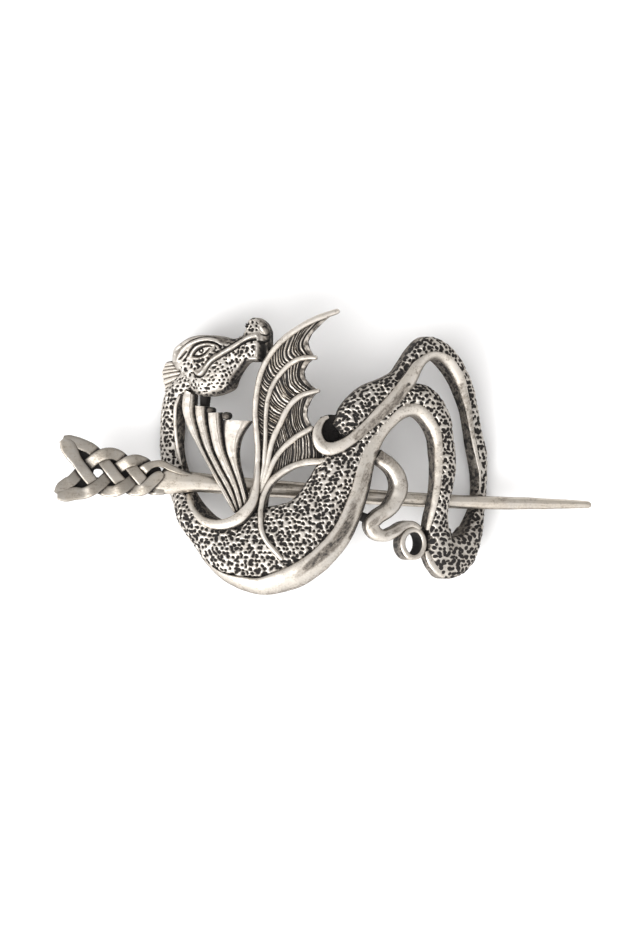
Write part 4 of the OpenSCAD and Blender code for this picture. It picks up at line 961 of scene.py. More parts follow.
class Skin(Shader):
    """A material's nodes, with textures that follow the piece."""

    def __init__(self, name):
        self.material = bpy.data.materials.new(name)
        super().__init__(self.material)
        self.place = self.node("ShaderNodeTexCoord").outputs["Object"]

    def attribute(self, name):
        """The value that a mesh holds at its corners."""
        return Value(self, self.node("ShaderNodeAttribute", {"attribute_name": name}).outputs["Fac"])

    def noise(self, size_mm, detail, roughness, place=None):
        """Random values between 0 and 1, in clouds of about a size."""
        values = {"Vector": place or self.place, "Scale": 1 / MM / size_mm, "Detail": detail,
                  "Roughness": roughness}
        return Value(self, self.node("ShaderNodeTexNoise", {}, values).outputs["Fac"])

    def stretched(self, share):
        """Places drawn together along X, so that marks run lengthwise."""
        values = {"Vector": self.place, "Scale": (share, 1, 1)}
        return self.node("ShaderNodeMapping", {}, values).outputs["Vector"]

    def blend(self, share, first, second):
        """The first colour where share is 0, and the second where it is 1."""
        return self.node("ShaderNodeMix", {"data_type": "RGBA"}, {0: share, 6: first, 7: second}).outputs[2]

    def surfaced(self, values):
        """The material, with its surface."""
        surface = self.node("ShaderNodeBsdfPrincipled", {}, values)
        self.node("ShaderNodeOutputMaterial", {}, {"Surface": surface.outputs["BSDF"]})
        return self.material


def antique_silver(name, stains, grain, polish, warmth, bump, shine, brushing=0.5):
    """Cast silver, blackened in its recesses and rubbed bright on its high places.

    stains is how mottled the tarnish is, grain how coarse the skin of the casting is, polish how
    rough the rubbed metal is, warmth how brown it is in clouds, bump how strongly its marks take
    the light, shine how pale it is, and brushing how much the marks of a brush along it show."""
    if name in bpy.data.materials:
        return bpy.data.materials[name]
    colours = bpy.context.scene.silver_colours
    metal = Skin(name)
    skin = metal.noise(0.16, 3, 0.6)
    grit = metal.noise(0.42, 6, 0.75)
    clouds = metal.noise(2.6, 5, 0.65)
    spots = metal.noise(0.75, 3, 0.6)
    fine = metal.noise(0.07, 2, 0.6)
    veil = metal.noise(9.0, 2, 0.5)
    brushed = metal.noise(0.5, 3, 0.6, metal.stretched(0.1))
    # patina of pits and recesses, together with the painted shade that the pieces carry
    black = metal.attribute("patina")
    recess = (black + (skin - 0.5) * 0.5 + (spots - 0.5) * 0.4 + (grit - 0.5) * 0.9).between(0.3, 0.8)
    mottle = (clouds - 0.5) * 1.8 + (spots - 0.5) * 1.2 + (grit - 0.5) * 2.6 + (brushed - 0.5) * brushing
    film = (black + (grit - 0.5) * 0.6).between(0.02, 0.5) * 0.85
    tarnish = (mottle.between(0, 0.8) * stains).at_least(film)
    warm = (clouds * 0.7 + skin * 0.5).between(0.2, 0.7) * warmth
    pinholes = (fine + skin * 0.7 + spots * 0.35).between(1.2, 1.36) * 0.75 * stains
    pale = tuple(c * shine for c in colours.polished)
    colour = metal.blend(warm, pale, tuple(c * k for c, k in zip(pale, (0.97, 0.9, 0.8))))
    colour = metal.blend(veil.between(0.35, 0.7) * 0.25, colour, tuple(c * 0.72 for c in pale))
    colour = metal.blend(tarnish, colour, tuple(colours.tarnished))
    colour = metal.blend(recess.at_least(pinholes), colour, tuple(colours.blackened_and_shade))
    rough = polish + (skin - 0.5) * 0.22 + tarnish * 0.22 + recess * 0.35
    metallic = 1 - recess * 0.8
    relief = (skin * 0.45 + fine * 0.2 + grit * 0.7 + spots * 0.5 + brushed * 0.4 * brushing) * grain
    normal = metal.node("ShaderNodeBump", {}, {"Strength": bump, "Distance": 0.09 * MM, "Height": relief})
    return metal.surfaced({
        "Base Color": colour, "Roughness": rough, "Metallic": metallic, "Normal": normal.outputs["Normal"],
    })


def hide_silver():
    return antique_silver("hide_silver", stains=0.5, grain=1.0, polish=0.48, warmth=0.5, bump=0.3, shine=0.9)


def band_silver():
    return antique_silver("band_silver", stains=0.8, grain=0.9, polish=0.36, warmth=0.7, bump=0.45,
                          shine=0.98)


def wing_silver():
    return antique_silver("wing_silver", stains=0.75, grain=0.9, polish=0.38, warmth=0.7, bump=0.4,
                          shine=1.05)


def knot_silver():
    return antique_silver("knot_silver", stains=0.8, grain=1.0, polish=0.34, warmth=1.0, bump=0.45,
                          shine=0.56, brushing=1.6)


def pin_silver():
    return antique_silver("pin_silver", stains=0.7, grain=0.8, polish=0.32, warmth=1.0, bump=0.35,
                          shine=0.95, brushing=2.0)


# Pieces of the slide
class HAIRSTICK_OT_hide(bpy.types.Operator):
    """Neck, body and both loops of the tail, in pitted hide"""

    bl_idname = "hairstick.hide"
    bl_label = "Neck, Body and Tail"

    def execute(self, context):
        hide_strand("neck", HIDE, spacing=0.11, columns=52, swell=-0.03, part=(0, NECK_ENDS))
        hide_strand("body", HIDE, spacing=0.13, columns=132, swell=0.02, part=(NECK_ENDS, BODY_ENDS))
        hide_strand("inner_tail", HIDE, spacing=0.11, columns=62, swell=0.03, part=(BODY_ENDS, LAST_ROW))
        hide_strand("outer_tail", OUTER_TAIL, spacing=0.13, columns=62, swell=0.04)
        return {"FINISHED"}


class HAIRSTICK_OT_heel(bpy.types.Operator):
    """Heel where the tail turns back, and the floor of the hollow, painted black as shade"""

    bl_idname = "hairstick.heel"
    bl_label = "Heel and Hollow"

    def execute(self, context):
        levels = 40
        flat = pad(HEEL, HEEL_RIDGE, self.dome, levels)
        on_top = np.zeros(flat.shape[:2])
        on_top[:levels] = 1 - smoothstep(levels - 11, levels - 1, np.arange(levels))[:, None]
        flat, dark = pitted(flat, flat[..., :2], on_top, swell=0.05)
        slide_grid("heel", flat, dark, hide_silver())
        levels = 24
        flat = pad(HOLLOW, HOLLOW_RIDGE, lambda places: np.full(len(places), -0.75), levels)
        flat[:levels] -= outward(flat)[:levels] * (pits(flat[:levels, :, :2], 1.2) * 0.25)[..., None]
        # the hollow's floor is painted black all over, as the shade in the hollow
        slide_grid("hollow_floor", flat, np.ones(flat.shape[:2]), hide_silver())
        return {"FINISHED"}

    @staticmethod
    def dome(places):
        """Height of the heel at places in plan."""
        return domed(near_line(places, [*HEEL, HEEL[0]])[0], 2.4, 1.75)


class HAIRSTICK_OT_bands(bpy.types.Operator):
    """Smooth belly band, and crest band with its hook"""

    bl_idname = "hairstick.bands"
    bl_label = "Smooth Bands"

    def execute(self, context):
        for name, rows in (("belly_band", BELLY_BAND), ("crest_band", CREST_BAND)):
            smooth_strand(name, rows, band_silver(), spacing=0.19, columns=28, dome=0.3, wobble=0.04,
                          dark=band_stains_and_shade)
        for name, rows in zip(("neck_rim", "heel_rim"), RIMS):
            smooth_strand(name, rows, band_silver(), spacing=0.14, columns=14, dome=0.6, limit=0.5)
        return {"FINISHED"}


class HAIRSTICK_OT_curl(bpy.types.Operator):
    """Curl with the small open ring at its end, and the low links in shadow"""

    bl_idname = "hairstick.curl"
    bl_label = "Curl and Ring"

    def execute(self, context):
        smooth_strand("curl", CURL, band_silver(), spacing=0.17, columns=28, wobble=0.07, dark=band_stains_and_shade)
        for name, rows in zip(("jaw_post", "curl_link"), LINKS):
            # both links are painted nearly black, as shade
            smooth_strand(name, rows, hide_silver(), spacing=0.2, columns=12, limit=0.5,
                          dark=lambda flat, on_top: np.full(flat.shape[:2], 0.9))
        self.ring()
        return {"FINISHED"}

    def ring(self):
        """An oval tube: a circle is raised to a wall, folded over, and let down on the inside."""
        pick_nothing()
        bpy.ops.mesh.primitive_circle_add(vertices=72, radius=1 * MM, fill_type="NOTHING")
        ring = named("ring")
        outer, inner = RING_OUTER, [r - RING_WALL for r in RING_OUTER]
        low, shoulder = -4.0, 0.4
        # across the wall, from the outer foot over the top to the inner foot
        bend = np.radians([0, 22, 45, 68, 90, 112, 135, 158, 180])
        profile = [(0, low), (0, low / 2)]
        profile += [(0.5 - 0.5 * math.cos(a), shoulder + 0.5 * math.sin(a)) for a in bend]
        profile += [(1, low / 2), (1, low)]
        bpy.ops.object.mode_set(mode="EDIT")
        size, height = (1.0, 1.0), 0.0
        for k, (share, z) in enumerate(profile):
            new = [o + (i - o) * share for o, i in zip(outer, inner)]
            if k:
                bpy.ops.mesh.extrude_region_move(TRANSFORM_OT_translate={"value": (0, 0, (z - height) * MM)})
            else:
                bpy.ops.transform.translate(value=(0, 0, (z - height) * MM))
            bpy.ops.transform.resize(value=(new[0] / size[0], new[1] / size[1], 1), center_override=(0, 0, 0))
            size, height = new, z
        pick_open_edges()
        bpy.ops.mesh.bridge_edge_loops()
        face_outwards()
        bpy.ops.mesh.subdivide(number_cuts=1)
        bpy.ops.object.mode_set(mode="OBJECT")
        flat = corners_of(ring) + (*RING_PLACE, 0)
        flat[:, :2] += waves(flat[:, :2] + flat[:, 2:], 1.6, 9)[:, None] * 0.06
        move_corners(ring, arched(flat))
        # the ring's inner wall below its top is painted dark, as shade in its hole; the rest only a little
        middle = [(o + i) / 2 for o, i in zip(outer, inner)]
        inside = np.hypot(*((flat[:, :2] - RING_PLACE) / middle).T) < 0.93
        mark(ring, "pit", np.where(inside & (flat[:, 2] < 0.6), 0.9, 0.1))
        bpy.ops.object.shade_smooth_by_angle(angle=math.radians(50))
        slide_piece(ring, band_silver())


class HAIRSTICK_OT_head(bpy.types.Operator):
    """Head with brow, eye, mouth and lips, its ear fin, and the curls on the small wing"""

    bl_idname = "hairstick.head"
    bl_label = "Head"

    def execute(self, context):
        upper, lower = (self.by_row(rows, 230) for rows in (HEAD_UPPER, HEAD_LOWER))
        even = np.linspace(0, 1, 120)
        # columns crowd a little towards both edges
        top = spanned(upper[:, None], lower[:, None], (1 - np.cos(np.pi * even)) / 4 + even / 2)
        places = top.reshape(-1, 2)
        edge = np.vstack([upper, lower[::-1], upper[:1]])
        gap, _ = near_line(places, [list(p) for p in edge[::4]], spacing=0.4)
        height = domed(gap, 3.0, 2.0)
        # the arch carries high places outwards, so the strokes are laid where they are seen
        seen = places * np.stack([1 + height / slide_size("arch_radius"), np.ones_like(height)], axis=-1)
        relief, dark = raised(seen, HEAD_STROKES)
        dense = painted(seen, HEAD_DENSE, 0.7, 1.3)
        holes = pits(seen + 40, 0.94, dense * 0.08 - 0.1) * (1 - painted(seen, HEAD_BARE, 0.75, 1.15))
        # stains on the nose and brow, and painted shade along the jaw's underside
        dark = np.maximum(dark, stained_and_shaded(seen[:, None], HEAD_STAINS_AND_SHADE)[:, 0])
        height = height + relief * smoothstep(0, 0.5, gap + 0.2) + waves(seen, 0.6, 8) * 0.05
        flat = plate(top, height.reshape(top.shape[:2]), -slide_size("cast_depth"))
        depth = on_plate(holes.reshape(top.shape[:2]), flat)
        shade = np.maximum(pit_black(depth), on_plate(dark.reshape(top.shape[:2]), flat))
        flat = flat - outward(flat) * (depth * slide_size("pit_depth"))[..., None]
        slide_grid("head", flat, shade, hide_silver())
        self.ear()
        for k, (x, y, z, r) in enumerate(BOSSES):
            self.boss(f"wing_curl_{k + 1}", x, y, z, r)
        return {"FINISHED"}

    @staticmethod
    def by_row(rows, count):
        """Places on a smooth curve through a table, evenly shared out over its rows."""
        curve = smoothed(np.column_stack([rows, np.arange(len(rows))]), 0.05)
        at = np.linspace(0, len(rows) - 1, count)
        return np.column_stack([np.interp(at, curve[:, 2], curve[:, c]) for c in (X, Y)])

    def ear(self):
        """A leaf-shaped fan of fine lines."""
        t, s = np.linspace(0, 1, 60), np.linspace(0, 1, 90)
        lines = [part_way(smoothed(line, 0.05), t) for line in EAR_LINES]
        # rows run from the left line to the right one as seen along the lines
        top = np.stack([part_way(row, s) for row in np.stack(lines, axis=1)])
        folds = np.abs(np.sin(np.pi * 7 * (s + 0.03 * np.sin(9 * s))))
        fade = smoothstep(0, 0.25, t)[:, None]
        height = 0.55 + 0.3 * np.sin(np.pi * s) + (0.32 * folds**0.8 - 0.3) * fade
        height = height + 0.5 * hump(s, 0.04, 0.06) - 0.35 * t[:, None] ** 3
        flat = plate(top, height, -1.6)
        slide_grid("ear_fin", flat, on_plate((1 - folds) ** 2.5 * fade * 0.7, flat), wing_silver())

    def boss(self, name, x, y, z, r):
        """A round boss, drawn down to a foot."""
        pick_nothing()
        bpy.ops.mesh.primitive_uv_sphere_add(segments=28, ring_count=18, radius=r * MM)
        boss = named(name)
        bpy.ops.object.mode_set(mode="EDIT")
        bpy.ops.mesh.select_all(action="DESELECT")
        bpy.ops.object.mode_set(mode="OBJECT")
        for vertex in boss.data.vertices:
            vertex.select = vertex.co.z < -0.2 * r * MM
        bpy.ops.object.mode_set(mode="EDIT")
        bpy.ops.transform.translate(value=(0, 0, -0.9 * MM))
        bpy.ops.object.mode_set(mode="OBJECT")
        move_corners(boss, arched(corners_of(boss) + (x, y, z)))
        mark(boss, "pit", np.full(len(boss.data.vertices), 0.55))
        bpy.ops.object.shade_smooth()
        slide_piece(boss, hide_silver())


class HAIRSTICK_OT_wing(bpy.types.Operator):
    """Large wing: webs with fine lines from finger to finger, fingers, whip and arm band"""

    bl_idname = "hairstick.wing"
    bl_label = "Large Wing"

    def execute(self, context):
        fingers = [smoothed(rows, 0.05) for rows in FINGERS]
        for k, (left, right) in enumerate(zip(fingers, fingers[1:])):
            self.web(k, left, right)
        height = slide_size("web_height")
        for k, rows in enumerate(FINGERS):
            ribs = [[x, y, w, height, height, 1.1] for x, y, w in rows]
            smooth_strand(f"finger_{k + 1}", ribs, wing_silver(), spacing=0.2, columns=16, dome=0.6,
                          limit=0.5, wobble=0.05, blunt=rows is not FINGERS[-1])
        smooth_strand("whip", WHIP, wing_silver(), spacing=0.2, columns=16, dome=0.6, limit=0.5,
                      wobble=0.05, blunt=True)
        smooth_strand("arm_band", ARM_BAND, wing_silver(), spacing=0.18, columns=24, dome=0.6, limit=0.7,
                      wobble=0.03)
        return {"FINISHED"}

    def web(self, k, left, right):
        """A web between two fingers, crossed by raised lines, with a smooth rim along its free edge."""
        lines = WEB_LINES[k]
        t = np.linspace(0, 1, lines * 9)[:, None]
        s = np.linspace(0, 1, 30)[None, :]
        # the free edge is scalloped between the fingers
        bow = np.sin(np.pi * s)
        at = np.clip(0.985 * t - bow * (WEB_SCALLOPS[k] * t**5 + 0.02 * t * (1 - t)), 0, 1)
        # the lines meet the left finger nearer to its root than the right one
        top = spanned(part_way(left, at - WEB_LEANS[k] * at * t * (1 - t)), part_way(right, at), s)
        length = np.hypot(*np.diff(top[:, s.size // 2], axis=0).T).sum()
        # each point's place among the lines, which wander and crowd as they do under a graver
        dice = np.random.default_rng(11 + k).random((3, lines + 2))
        number = t * lines + np.interp(t * lines, np.arange(lines + 2), dice[0] - 0.5) * 0.8
        number = number + waves(top, 3.2, 21 + k) * 0.3 + waves(top, 1.1, 26 + k) * 0.1
        near = np.clip(np.round(number).astype(int), 0, lines + 1)
        # lines of uneven strength and sharpness, with faint ones between them
        strength = 0.65 + 0.35 * dice[1][near] + 0.35 * waves(top, 1.0, 31 + k)
        ridge = (0.5 + 0.5 * np.cos(2 * np.pi * number)) ** (0.7 + 0.8 * dice[2][near]) * strength
        between = (0.5 - 0.5 * np.cos(2 * np.pi * number)) ** 3 * (0.12 + 0.4 * waves(top, 1.6, 36 + k))
        ridge = np.maximum(ridge, between)
        # the rim along the free edge, and the groove beside it
        from_edge = (1 - t) * length
        rim = 1 - smoothstep(0.75, 1.0, from_edge)
        groove = smoothstep(0.7, 1.0, from_edge) * (1 - smoothstep(1.1, 1.5, from_edge))
        if k == len(WEB_LINES) - 1:
            rim, groove = rim * 0, smoothstep(1.5, 0.5, from_edge)
        sag = slide_size("web_height") - 0.22 * bow - 0.1
        hem = rim * (0.24 + 0.07 * waves(top, 0.5, 41 + k))
        height = sag - 0.24 + 0.42 * ridge * (1 - rim) + hem - groove * 0.1
        dark = np.maximum((1 - smoothstep(0.12, 0.5, ridge)) * (1 - rim), groove * 0.8)
        dark = np.maximum(dark, rim * 0.35 * (1 + waves(top, 0.5, 51 + k)))
        flat = plate(top, height, -2.2)
        slide_grid(f"web_{k + 1}", flat, on_plate(dark, flat), wing_silver(), angle=60)


class HAIRSTICK_OT_small_wing(bpy.types.Operator):
    """Small wing: four lobes side by side, stepped down at their tops"""

    bl_idname = "hairstick.small_wing"
    bl_label = "Small Wing"

    def execute(self, context):
        t, s = np.linspace(0, 1, 150), np.linspace(0, 1, 44)
        for k, lobe in enumerate(LOBES):
            left, right = (part_way(smoothed(line, 0.05), t)[:, None] for line in lobe)
            top = spanned(left, right, s)
            # a groove on the left, a flat face, and a rounded ridge on the right
            face = 0.62 * smoothstep(0, 0.16, s) + 0.12 * s
            ridge = 0.34 * hump(s, 0.85, 0.09) + 0.2 * hump(s, 0.4, 0.22)
            height = face + ridge - 0.75 * smoothstep(0.92, 1, s) + 0.05 * waves(top, 0.9, 41 + k)
            flat = plate(top, height, -0.8)
            groove = (1 - smoothstep(0.02, 0.13, s)) + smoothstep(0.95, 0.99, s)
            crease = (0.55 if lobe is not LOBES[-1] else 0.2) * hump(s, 0.73, 0.035)
            crease = crease + 0.3 * hump(s, 0.88, 0.06)
            # darker on the slope out of the groove and towards the lobe's stepped-down top
            darker_edges = 0.2 * hump(s, 0.12, 0.12) + 0.15 * smoothstep(0.9, 1, t)[:, None]
            darker_edges = np.clip(darker_edges * (1 + waves(top, 0.7, 46 + k)), 0, 0.5)
            dark = np.maximum(np.clip(np.maximum(groove * 0.95, crease), 0, 1), darker_edges)
            slide_grid(f"lobe_{k + 1}", flat, on_plate(dark, flat), wing_silver())
        return {"FINISHED"}


# Pieces of the stick
def on_stick(points):
    """Points of the stick's own frame, in millimetres, in their place over the slide."""
    sizes = bpy.context.scene.stick_sizes
    turn = Matrix.Rotation(-sizes.turn, 3, "Z") @ Matrix.Rotation(sizes.fall, 3, "Y")
    place = np.array([*STICK_PLACE, sizes.axis_height / MM])
    return points @ np.array(turn).T + place


class HAIRSTICK_OT_pin(bpy.types.Operator):
    """Tapered pin, with a faint ridge along its top"""

    bl_idname = "hairstick.pin"
    bl_label = "Pin"

    def execute(self, context):
        pick_nothing()
        path = smoothed(PIN, 0.5)
        bpy.ops.mesh.primitive_circle_add(vertices=56, radius=1 * MM, fill_type="NGON",
                                          rotation=(math.pi / 2, 0, math.pi / 2))
        pin = named("pin")
        bpy.ops.object.transform_apply(location=True, rotation=True, scale=True)
        bpy.ops.object.mode_set(mode="EDIT")
        bpy.ops.mesh.select_all(action="SELECT")
        x, y, wide, thick = path[0]
        bpy.ops.transform.resize(value=(1, wide / 2, thick / 2))
        bpy.ops.transform.translate(value=(x * MM, y * MM, 0))
        for before, row in zip(path, path[1:]):
            move, grow = (row - before) * MM, row / before
            bpy.ops.mesh.extrude_region_move(TRANSFORM_OT_translate={"value": (*move[:2], 0)})
            bpy.ops.transform.resize(value=(1, *grow[2:]), center_override=(*row[:2] * MM, 0))
        face_outwards()
        bpy.ops.object.mode_set(mode="OBJECT")
        points = corners_of(pin)
        middle, wide, thick = (np.interp(points[:, 0], path[:, 0], column) for column in path.T[1:])
        side = (points[:, 1] - middle) / (wide / 2)
        # two facets that meet in a ridge on top
        facet = thick / 2 * (1 - 0.3 * np.abs(side) - 0.62 * np.abs(side) ** 5)
        height = points[:, 2]
        points[:, 2] = np.where(height > 0, np.maximum(np.minimum(facet, height * 1.3), 0), height)
        points[:, 2] += waves(points[:, :2], 2.6, 51) * 0.035
        points[:, 1] += waves(points[:, [0, 2]], 3.4, 52) * 0.04
        move_corners(pin, on_stick(points))
        # the lower facet is duller towards the tip
        mark(pin, "pit", 0.22 * smoothstep(0.05, -0.2, side) * smoothstep(44, 60, points[:, 0]))
        bpy.ops.object.shade_smooth_by_angle(angle=math.radians(50))
        stick_piece(pin, pin_silver())
        return {"FINISHED"}


class HAIRSTICK_OT_plait(bpy.types.Operator):
    """Plaited knot head with its fish tail"""

    bl_idname = "hairstick.plait"
    bl_label = "Plaited Head"

    def execute(self, context):
        width, thickness = stick_size("plait_width"), stick_size("plait_thickness")
        weave = stick_size("plait_weave")
        turn = np.linspace(0, 2 * np.pi, 45)[:-1]
        # round-cornered section, from left over the top to the right and back underneath; a power
        # of 1 would make it an oval, and one of 0 a box
        corner = 2 / 4.6
        section_x = -np.sign(np.cos(turn)) * np.abs(np.cos(turn)) ** corner
        section_z = np.sign(np.sin(turn)) * np.abs(np.sin(turn)) ** corner
        for j, name in enumerate(("strand_a", "strand_b", "strand_c", "strand_d")):
            rows = [[*row, thickness] for row in FINS[j]]
            # a strand swings over and back in four crossings, and rises and dips three times as fast,
            # while the knot narrows towards the pin
            for u in np.arange(JOINS[j], LEAVES[j] + 0.01, 0.25):
                phase = math.radians(90 * (u - j) + 90)
                x, middle = -21.6 + 6.44 * u - 0.44 * u**2, 1.25 - 0.29 * u
                spread = 4.8 - 1.2 * u + 0.14 * u**2
                rows.append([x, middle + spread * math.cos(phase), width,
                             -weave * math.sin(3 * phase), thickness])
            rows += [[*row, thickness] for row in ENDS[j]]
            path = smoothed(rows, 0.17)
            side = sideways(path)
            half = path[:, 2, None] / 2
            points = np.stack([
                path[:, 0, None] + side[:, :1] * half * section_x,
                path[:, 1, None] + side[:, 1:] * half * section_x,
                path[:, 3, None] + path[:, 4, None] / 2 * section_z,
            ], axis=-1)
            points += outward(points) * (waves(points[..., :2], 1.4, 61 + j) * 0.04)[..., None]
            # painted shade along both sides of each strand, as dark outlines where strands overlap
            dark = 0.6 * smoothstep(0.9, 1.0, np.abs(section_x)) * np.ones((len(path), 1))
            stick_piece(lay_grid(name, on_stick(points), dark), knot_silver())
        self.floor()
        return {"FINISHED"}

    def floor(self):
        """Floor behind the strands, round its one hole, painted nearly black as shade."""
        edge, hole = closed(KNOT_FLOOR, 0.35), closed(KNOT_HOLE, 0.05)
        middle = hole.mean(axis=0)
        angles = np.arctan2(*(edge - middle).T[::-1])
        around = np.arctan2(*(hole - middle).T[::-1])
        order = np.argsort(around)
        reach = np.interp(angles, around[order], np.hypot(*(hole - middle).T)[order], period=2 * np.pi)
        inner = middle + reach[:, None] * np.stack([np.cos(angles), np.sin(angles)], axis=-1)
        low, top = FLOOR_HEIGHTS
        share = np.linspace(0, 1, 30)[:, None, None]
        face = inner + (edge - inner) * share
        bumpy = top + waves(face, 0.9, 71) * 0.12 + waves(face, 0.4, 72) * 0.05
        upper = np.concatenate([face, bumpy[..., None]], axis=-1)
        under = np.concatenate([face[::-1], np.full((*face.shape[:2], 1), low)], axis=-1)
        points = np.concatenate([upper, under, upper[:1]], axis=0)
        # painted nearly black, as the shade between the strands
        stick_piece(lay_grid("knot_floor", on_stick(points), np.full(points.shape[:2], 0.85)), knot_silver())


CELL, ROOM = 0.16, 62.0  # cells of the skyline, and how far it reaches from the middle, in mm
REACHES = ((0.32, 0.3), (0.65, 0.4), (1.2, 0.45))  # how far off a recess looks for walls, and the weight
LOOKS = 8  # directions in which it looks
HIDE_GLOOM, STICK_GLOOM = 1.5, 2.2  # how black a recess of the slide and of the stick gets


class HAIRSTICK_OT_patina(bpy.types.Operator):
    """Blackens the recesses of both castings, where the polishing wheel doesn't reach, and paints shade on
    the slide's walls that face the sides
    """

    bl_idname = "hairstick.patina"
    bl_label = "Patina"

    def execute(self, context):
        for node, on_arch in (("dragon_slide", True), ("hair_stick", False)):
            body = frame["nodes"][node].parent
            self.blacken([o for o in bpy.data.objects
                          if o.type == "MESH" and "pit" in o.data.attributes and o.parent == body], on_arch)
        return {"FINISHED"}

    def blacken(self, pieces, on_arch):
        """Marks how black each corner is, by the pieces that stand higher round it, and paints shade on the
        slide's sideways walls.
        """
        count = int(2 * ROOM / CELL)
        skyline = np.full((count, count), -50.0)
        laid = [flattened(corners_of(piece)) if on_arch else corners_of(piece) for piece in pieces]
        for points in laid:
            x, y = ((points[:, :2] + ROOM) / CELL).astype(int).T
            np.maximum.at(skyline, (x, y), points[:, 2])
        for piece, points in zip(pieces, laid):
            shade = np.zeros(len(points))
            for reach, weight in REACHES:
                for turn in np.arange(LOOKS) * 2 * np.pi / LOOKS + reach:
                    x = points[:, 0] + reach * math.cos(turn)
                    y = points[:, 1] + reach * math.sin(turn)
                    at = ((x + ROOM) / CELL).astype(int), ((y + ROOM) / CELL).astype(int)
                    climb = (skyline[at] - points[:, 2]) / reach
                    shade += weight * np.clip(climb - 0.35, 0, 1.2) / LOOKS
            upright, walls = self.walls(piece, points, on_arch)
            shade = np.clip(shade * (HIDE_GLOOM if on_arch else STICK_GLOOM), 0, 1) * (1 - 0.55 * upright)
            # on the slide, walls that face the sides are darkened further with painted shade
            if on_arch:
                shade = np.maximum(shade, walls)
            pit = np.empty(len(points), np.float32)
            piece.data.attributes["pit"].data.foreach_get("value", pit)
            mark(piece, "patina", 1 - (1 - np.clip(pit, 0, 1)) * (1 - shade))

    @staticmethod
    def walls(piece, points, on_arch):
        """How upright the skin is at each corner, and the painted shade on the walls that face to either
        side.
        """
        normals = np.empty(len(points) * 3, np.float32)
        piece.data.vertices.foreach_get("normal", normals)
        lean = np.arcsin(np.clip(points[:, 0] / slide_size("arch_radius"), -1, 1)) * on_arch
        rise = normals[::3] * np.sin(lean) + normals[2::3] * np.cos(lean)
        sidelong = np.abs(normals[::3] * np.cos(lean) - normals[2::3] * np.sin(lean))
        upright = 1 - smoothstep(0.1, 0.5, rise)
        # mottled painted shade on walls that face along X, none on walls that face the near side
        fleck = waves(points[:, 1:], 0.34, 95) + 0.8 * waves(points[:, :2] + points[:, 2:], 0.8, 96)
        return upright, upright * smoothstep(0.35, 0.8, sidelong) * np.clip(0.56 + 0.4 * fleck, 0, 1)


# Stage
WINDOW_PLACE, WINDOW_SIZE = (-0.6, -0.58, 0.56), (0.8, 0.6)  # metres
PICTURE_MIDDLE = (-2.7, -2.7, 9)  # mm
PICTURE_SIZE = (621, 931)  # pixels


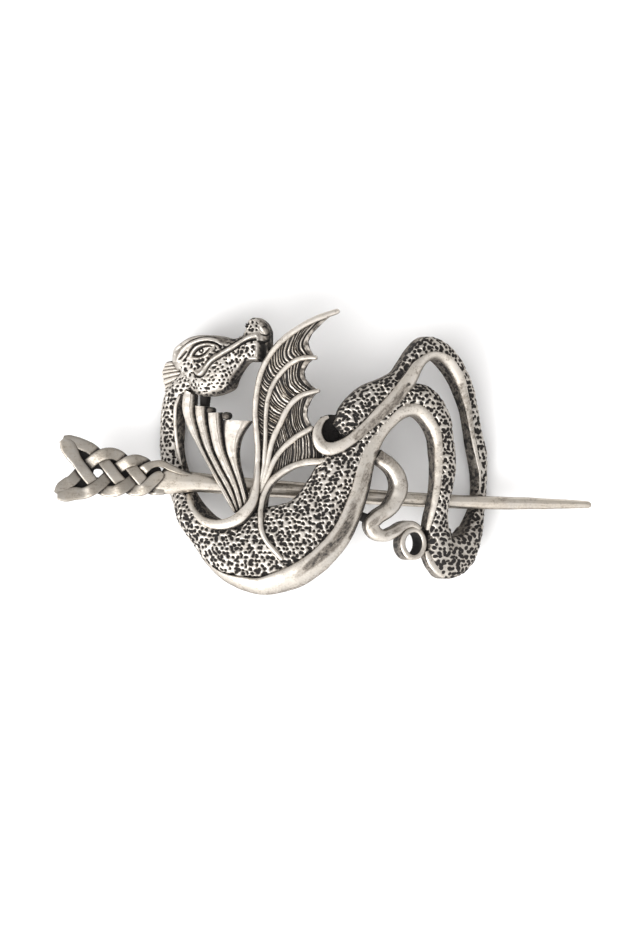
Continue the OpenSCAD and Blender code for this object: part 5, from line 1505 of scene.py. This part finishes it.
class HAIRSTICK_OT_stage(bpy.types.Operator):
    """Pale floor, soft studio light and the camera straight above"""

    bl_idname = "hairstick.stage"
    bl_label = "Floor, Light and Camera"

    def execute(self, context):
        setting = context.scene.stage_setting
        pick_nothing()
        bpy.ops.mesh.primitive_plane_add(size=8)
        floor = context.object
        floor.name = "floor"
        floor.data.materials.append(self.paper(setting))
        context.scene.world = self.room(setting)
        self.window(setting)
        self.camera(setting)
        context.scene.view_settings.view_transform = "Standard"
        return {"FINISHED"}

    def room(self, setting):
        """Room that is bright on the near side and the left, and dim on the far side."""
        world = bpy.data.worlds.new("room")
        room = Shader(world)
        place = room.node("ShaderNodeTexCoord").outputs["Generated"]
        split = room.node("ShaderNodeSeparateXYZ", {}, {"Vector": place})
        towards_far = Value(room, split.outputs["Y"]) * 0.88 + Value(room, split.outputs["X"]) * 0.46
        stops = (0.12, setting.near_colour), (0.5, setting.ceiling_colour), (0.8, setting.far_colour)
        walls = room.node("ShaderNodeValToRGB", {"stops": stops}, {"Fac": towards_far * 0.5 + 0.5})
        light = room.node("ShaderNodeBackground", {}, {"Color": walls.outputs["Color"]})
        room.node("ShaderNodeOutputWorld", {}, {"Surface": light.outputs["Background"]})
        return world

    def paper(self, setting):
        """Matt white paper with a faint tone."""
        paper = Skin("floor_paper")
        colour = tuple(setting.floor_colour)
        tone = paper.noise(60, 2, 0.5).between(0.3, 0.7)
        tint = paper.blend(tone, colour, tuple(c * 0.985 for c in colour))
        return paper.surfaced({"Base Color": tint, "Roughness": 0.85})

    def window(self, setting):
        """Large soft light from the near left."""
        bpy.ops.object.light_add(type="AREA", location=WINDOW_PLACE)
        lamp = bpy.context.object
        lamp.name = "window"
        lamp.data.shape = "RECTANGLE"
        lamp.data.size, lamp.data.size_y = WINDOW_SIZE
        lamp.data.energy = setting.window_power
        lamp.rotation_euler = Vector(WINDOW_PLACE).to_track_quat("Z", "Y").to_euler()

    def camera(self, setting):
        """Camera straight above the middle of the picture."""
        x, y, z = (place * MM for place in PICTURE_MIDDLE)
        bpy.ops.object.camera_add(location=(x, y, setting.camera_distance + z))
        camera = bpy.context.object
        camera.name = "camera"
        camera.rotation_euler = (0, 0, 0)
        long_side = setting.view_width * PICTURE_SIZE[1] / PICTURE_SIZE[0]
        camera.data.lens = camera.data.sensor_width * setting.camera_distance / long_side
        camera.data.clip_start, camera.data.clip_end = 0.05, 20
        bpy.context.scene.camera = camera


class HAIRSTICK_PT_panel(bpy.types.Panel):
    """Pieces of the hair stick, in the order in which they are made"""

    bl_label = "Hair Stick"
    bl_idname = "HAIRSTICK_PT_panel"
    bl_space_type = "VIEW_3D"
    bl_region_type = "UI"
    bl_category = "Hair Stick"

    def draw(self, context):
        for group in ("slide_sizes", "stick_sizes", "silver_colours", "stage_setting"):
            box = self.layout.box()
            settings = getattr(context.scene, group)
            for name in settings.__annotations__:
                box.prop(settings, name)
        for operator in OPERATORS:
            self.layout.operator(operator.bl_idname)


OPERATORS = (
    HAIRSTICK_OT_hide, HAIRSTICK_OT_heel, HAIRSTICK_OT_bands, HAIRSTICK_OT_curl, HAIRSTICK_OT_head,
    HAIRSTICK_OT_wing, HAIRSTICK_OT_small_wing, HAIRSTICK_OT_pin, HAIRSTICK_OT_plait,
    HAIRSTICK_OT_patina, HAIRSTICK_OT_stage,
)
SETTINGS = {
    "slide_sizes": SlideSizes, "stick_sizes": StickSizes, "silver_colours": SilverColours,
    "stage_setting": StageSetting,
}


def register():
    for cls in (*SETTINGS.values(), *OPERATORS, HAIRSTICK_PT_panel):
        bpy.utils.register_class(cls)
    for name, cls in SETTINGS.items():
        setattr(bpy.types.Scene, name, PointerProperty(type=cls))


def unregister():
    for name in SETTINGS:
        delattr(bpy.types.Scene, name)
    for cls in reversed((*SETTINGS.values(), *OPERATORS, HAIRSTICK_PT_panel)):
        bpy.utils.unregister_class(cls)


def main():
    register()
    bpy.ops.hairstick.hide()
    bpy.ops.hairstick.heel()
    bpy.ops.hairstick.bands()
    bpy.ops.hairstick.curl()
    bpy.ops.hairstick.head()
    bpy.ops.hairstick.wing()
    bpy.ops.hairstick.small_wing()
    bpy.ops.hairstick.pin()
    bpy.ops.hairstick.plait()
    bpy.ops.hairstick.patina()
    bpy.ops.hairstick.stage()


if __name__ == "__main__":
    main()
